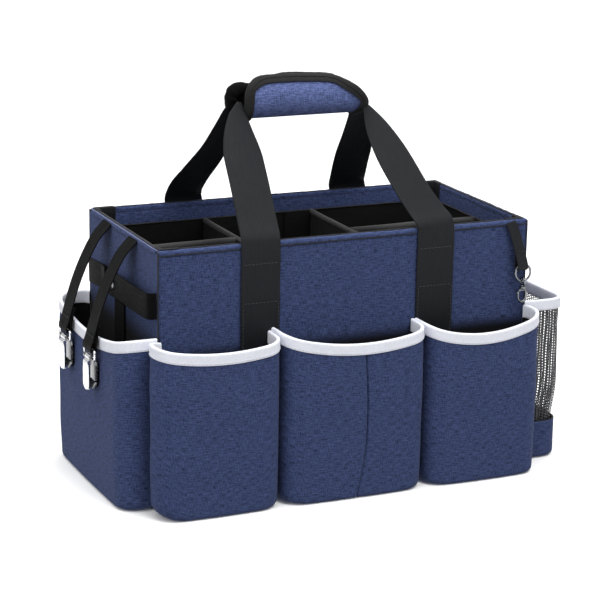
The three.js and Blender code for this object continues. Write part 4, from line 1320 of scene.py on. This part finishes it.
def add_tool_band():
    # the tool band's straps take the darker copy of the webbing: painted shade
    plan = spline([(BAND_X, -92.3), (-190.8, -91.6), (-193.2, -87), (-193.1, -70), (-191.6, -40),
                   (-189.5, -10), (-188.3, 10), (-188.2, 26)], 70)
    strap("tool_band_front_strap", band_path(plan, BAND_Z - 1), (0, 0, 1), BAND_WIDTH, 1.3, "webbing_shaded_copy",
          "caddy", ["tool_band_front"])
    plan = np.stack([BAND_X - 0.3 * np.sin(np.linspace(0, 9, 40)), np.linspace(91, 12, 40)], axis=1)
    strap("tool_band_rear_strap", band_path(plan), (0, 0, 1), BAND_WIDTH, 1.1, "webbing_shaded_copy", "caddy",
          ["tool_band_rear"])
    plan = spline([(-186.9, 52), (-187.4, 47), (-188.3, 41), (-189.2, 37.5), (-188.9, 35.6), (-187.6, 35.8),
                   (-187.0, 38)], 40)
    strap("tool_band_rear_fold", band_path(plan), (0, 0, 1), BAND_WIDTH + 0.6, 0.9, "webbing_shaded_copy", "caddy")
    low, high = corners_mm("tool_band_strip")
    middle = (low[1] + high[1]) / 2
    strap("tool_band_strip_strap", np.linspace((BAND_X, middle, low[2]), (BAND_X, middle, high[2]), 50),
          (0, 1, 0), high[1] - low[1], 1.1, "webbing_shaded_copy", "caddy", ["tool_band_strip"])
    cap = [(0.05, 1.9), (1.5, 1.85), (3.2, 1.6), (4.6, 1.0), (5.4, 0.4), (6.0, 0.0), (6.0, -0.5),
           (0.05, -0.5)]
    Shape().grid(lathe_grid(cap, np.array([-189.4, 18, 184.5]), (-1, 0, 0)), wrap=True, caps=True).make(
        "tool_band_press_stud", "gunmetal", "caddy", ["tool_band_snap"])


CLIP_X, EYE_Z, PIVOT_Z = -227.0, 140.0, 131.5
CLIP_STRAP_WIDTH, CLIP_THICK, CURL = 23.0, 0.9, 2.65
CLIPS = (("front", -30), ("rear", 40))


def add_clip(side, y):
    body = f"clip_strap_{side}"
    line = spline([(-184.4, 237.8), (-185.7, 236.3), (-188.6, 233.6), (-197.2, 223.5), (-207.4, 205),
                   (-216.3, 184), (-222.4, 165), (-226.8, 149.5), (-229.2, 143.5)], 60)
    hook_turn = [(CLIP_X - 2.6 * math.cos(a), EYE_Z + 2.6 * math.sin(a))
                 for a in np.radians(np.linspace(20, -200, 12))]
    back = spline([(-224.6, 145.0), (-223.6, 150), (-220.6, 160.5)], 8)
    profile = spaced(np.concatenate([line, hook_turn, back]), 92)
    # the clip strap takes the darker copy of the webbing: painted shade
    strap(f"{body}_webbing", standing(profile, y), (0, 1, 0), CLIP_STRAP_WIDTH, 1.1, "webbing_shaded_copy", body,
          [body])
    thread = [(np.linspace((-226.7, y - 10.5, 152), (-226.7, y + 10.5, 152), 8), (-1, 0, 0.4))]
    stitches(f"{body}_stitching", thread, "black_thread", body, 0.35, 0.2)
    add_wire_loop(side, y)
    add_jaw(side, y)
    add_lever(side, y)


def add_wire_loop(side, y):
    middle = (CLIP_X, y, (EYE_Z + PIVOT_Z) / 2)
    half_y, half_z, corner = 14.4, (EYE_Z - PIVOT_Z) / 2, 3.0
    line = []
    for sy, sz, turn in ((1, 1, 0), (-1, 1, 90), (-1, -1, 180), (1, -1, 270)):
        for a in np.radians(np.linspace(turn, turn + 90, 7)):
            line.append(np.add(middle, [0, sy * (half_y - corner) + corner * math.cos(a),
                                        sz * (half_z - corner) + corner * math.sin(a)]))
    line = spaced(np.array(line + [line[0]]), 81)[:-1]
    Shape().grid(tube_grid(line, 1.1, 12, closed=True), wrap=True, loop=True).make(
        f"clip_wire_{side}_ring", "chrome", f"clip_wire_{side}", [f"clip_wire_loop_{side}"])


def plate_grid(y, x_of, outline, rows=20, columns=15):
    """A pressed plate: `outline` gives its half width at each height and x_of its depth."""
    front, back = [], []
    heights = np.linspace(outline[0][0], outline[-1][0], rows)
    half = np.interp(heights, *zip(*outline))
    for z, w in zip(heights, half):
        places = [(x_of(s, z), y + s * w) for s in np.linspace(-1, 1, columns)]
        front.append([(x, across, z) for x, across in places])
        back.append([(x + 1.0, across, z) for x, across in places])
    return front + back[::-1]


def add_curl(shape, y, width, sign, lead):
    """A tongue of the plate, rolled round the pivot."""
    rolled = [(CLIP_X + sign * CURL * math.cos(t), PIVOT_Z + CURL * math.sin(t))
              for t in np.radians(np.linspace(-60, 215, 18))[1:]]
    profile = spaced(np.array(lead + rolled), 28)
    shape.grid(strap_grid(standing(profile, y), (0, 1, 0), width, CLIP_THICK, count=5), wrap=True, caps=True)


def add_jaw(side, y):
    shape = Shape()
    outline = [(104.5, 8.4), (106, 9.6), (109, 10), (124, 10), (127, 9.8)]
    def depth(s, h):
        return CLIP_X + 3.1 + 0.8 * s * s - 1.2 * max(0, (108 - h) / 4)
    shape.grid(plate_grid(y, depth, outline), loop=True)
    for a, b in ((-10, -5.8), (5.8, 10)):
        add_curl(shape, y + (a + b) / 2, b - a, 1, [(CLIP_X + 3.6, 125), (CLIP_X + 3.4, PIVOT_Z - 3.2)])
    steps = (-1, 0, 1)
    for k in range(7):
        centre = y - 7.5 + 2.5 * k
        tooth = [[(CLIP_X + 2.2 + 1.6 * s, centre + 1.1 * t, 104.6 + 2.4 * (s + 1)) for t in steps]
                 for s in steps]
        lower = [[(px - 1.6 * (1 - abs(t)), py, pz - 0.8) for (px, py, pz), t in zip(row, steps)]
                 for row in tooth]
        shape.grid(tooth + lower[::-1], loop=True)
    shape.make(f"clip_jaw_{side}_plate", "steel", f"clip_jaw_{side}", [f"clip_jaw_{side}"])


def add_lever(side, y):
    shape = Shape()
    outline = [(101.5, 3.4), (102, 5.2), (103, 6.7), (104.8, 7.9), (107.5, 8.5), (116, 8.5), (122, 8.4),
               (125.3, 7.6), (127, 6.2)]
    def depth(s, h):
        return CLIP_X - 3.9 - 1.3 * (1 - s * s) + max(0.0, (105 - h) / 4) ** 2
    shape.grid(plate_grid(y, depth, outline, rows=28), loop=True)
    add_curl(shape, y, 10.6, -1, [(CLIP_X - 4.5, 125.5), (CLIP_X - 3.9, PIVOT_Z - 3.0)])
    shape.make(f"clip_lever_{side}_plate", "chrome", f"clip_lever_{side}", [f"clip_lever_{side}"])


# ---- snap hook -----------------------------------------------------------------------------------
HOOK_X, HOOK_Y, HOOK_EYE, HOOK_RING, HOOK_SWIVEL = 178, -100, 196.6, 190, 181.6
HOOK_STRAP_WIDTH, RING_RADIUS = 10.8, 8


def add_hook():
    down = spline([(165.2, -94.9, 238.6), (165.7, -95.5, 237.4), (168.4, -96.4, 231.5), (171.4, -97.6, 222),
                   (173.6, -99.4, 212), (175.4, -102.4, 202), (175.8, -103.6, 197.6)], 40)
    turn = [(HOOK_X - 2.0, HOOK_Y - 3.6 * math.cos(a), HOOK_EYE - 3.6 * math.sin(a))
            for a in np.radians(np.linspace(0, 180, 12))]
    behind = [(176, -96.6, 202), (175.4, -98.2, 207), (174.6, -97.6, 213)]
    path = spaced(np.concatenate([down, turn, spline(behind, 8)]), 76)
    strap("hook_strap_webbing", path, (1, 0, 0), HOOK_STRAP_WIDTH, 1.2, "webbing", "hook_strap",
          ["hook_strap"])
    thread = [(np.linspace((170.0, -100.7, 211), (177.6, -100.7, 211), 6), (0, -1, 0.2))]
    stitches("hook_strap_stitching", thread, "black_thread", "hook_strap", 0.3, 0.4)
    ring = np.array([(HOOK_X + RING_RADIUS * math.cos(a), HOOK_Y, HOOK_RING + RING_RADIUS * math.sin(a))
                     for a in np.linspace(0, 2 * math.pi, 48, endpoint=False)])
    Shape().grid(tube_grid(ring, 1.1, 12, closed=True), wrap=True, loop=True).make(
        "hook_ring_wire", "gunmetal", "hook_ring", ["hook_ring"])
    add_swivel()
    add_snap_body()


def add_swivel():
    angles = np.linspace(0, 2 * math.pi, 28, endpoint=False)
    centre = np.array([HOOK_X, HOOK_Y, HOOK_SWIVEL])
    eye = np.array([centre + [0, 3.6 * math.cos(a), 3.6 * math.sin(a)] for a in angles])
    shape = Shape().grid(tube_grid(eye, 0.9, 10, closed=True), wrap=True, loop=True)
    stem = [(0.05, -3.0), (1.9, -3.4), (1.9, -3.9), (1.2, -4.2), (1.2, -8.0), (1.75, -8.2), (1.75, -8.8),
            (0.05, -8.9)]
    shape.grid(lathe_grid(stem, centre, (0, 0, 1), 16), wrap=True, caps=True)
    shape.make("snap_hook_swivel_eye", "gunmetal", "snap_hook_swivel", ["snap_hook_swivel"])


def add_snap_body():
    centre = np.array([HOOK_X, HOOK_Y, HOOK_SWIVEL])
    outline = spline([(-3.7, -15.9), (-3.5, -17.6), (-1.8, -19.4), (0.6, -19.6), (3.0, -18.2), (3.95, -15.5),
                      (3.95, -12.6), (3.6, -10.0), (2.2, -8.4), (0.0, -7.7), (-2.4, -8.3), (-3.6, -9.3)], 46)
    share = np.linspace(0, 1, 46)
    radii = 1.05 + 0.35 * np.sin(math.pi * share) - 0.25 * np.clip((0.08 - share) / 0.08, 0, 1)
    shape = Shape().grid(tube_grid(standing(outline, 0) + centre, radii, 12), wrap=True, caps=True)
    barrel = [(1.45, -4.95), (2.5, -4.9), (3.0, -5.3), (3.0, -6.3), (2.7, -6.8), (2.9, -7.3), (2.4, -7.8),
              (1.45, -7.9)]
    shape.grid(lathe_grid(barrel, centre, (0, 0, 1), 20), wrap=True, loop=True)
    shape.make("snap_hook_claw", "gunmetal", "snap_hook", ["snap_hook"])
    gate = spline([(-4.1, -16.0), (-4.25, -14.5), (-4.25, -11.5), (-4.1, -9.7)], 14)
    lever = Shape().grid(tube_grid(standing(gate, 0) + centre, np.linspace(0.75, 0.95, 14), 12), wrap=True,
                         caps=True)
    nub = [(0.05, 1.3), (0.5, 1.25), (0.75, 0.8), (0.8, 0.0), (0.05, -0.3)]
    lever.grid(lathe_grid(nub, centre + [-4.6, 0, -11.2], (-1, 0, 0.2), 12), wrap=True, caps=True)
    lever.make("snap_hook_gate_lever", "gunmetal", "snap_hook_gate", ["snap_hook_gate"])


# ---- assembly ------------------------------------------------------------------------------------
add_walls()
add_corner_strips()
add_seam_cords()
add_pockets()
add_dividers()
add_handle()
add_tool_band()
for clip_side, clip_y in CLIPS:
    add_clip(clip_side, clip_y)
add_hook()
for board_name in ("base", "front", "back", "left", "right"):
    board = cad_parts[f"{board_name}_board"]
    board.data.materials.clear()
    board.data.materials.append(LOOKS["board"][0])

boxes = {"cad": CAD_BOX, "visual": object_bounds()}
{key: [list(map(float, corner)) for corner in box] for key, box in boxes.items()}
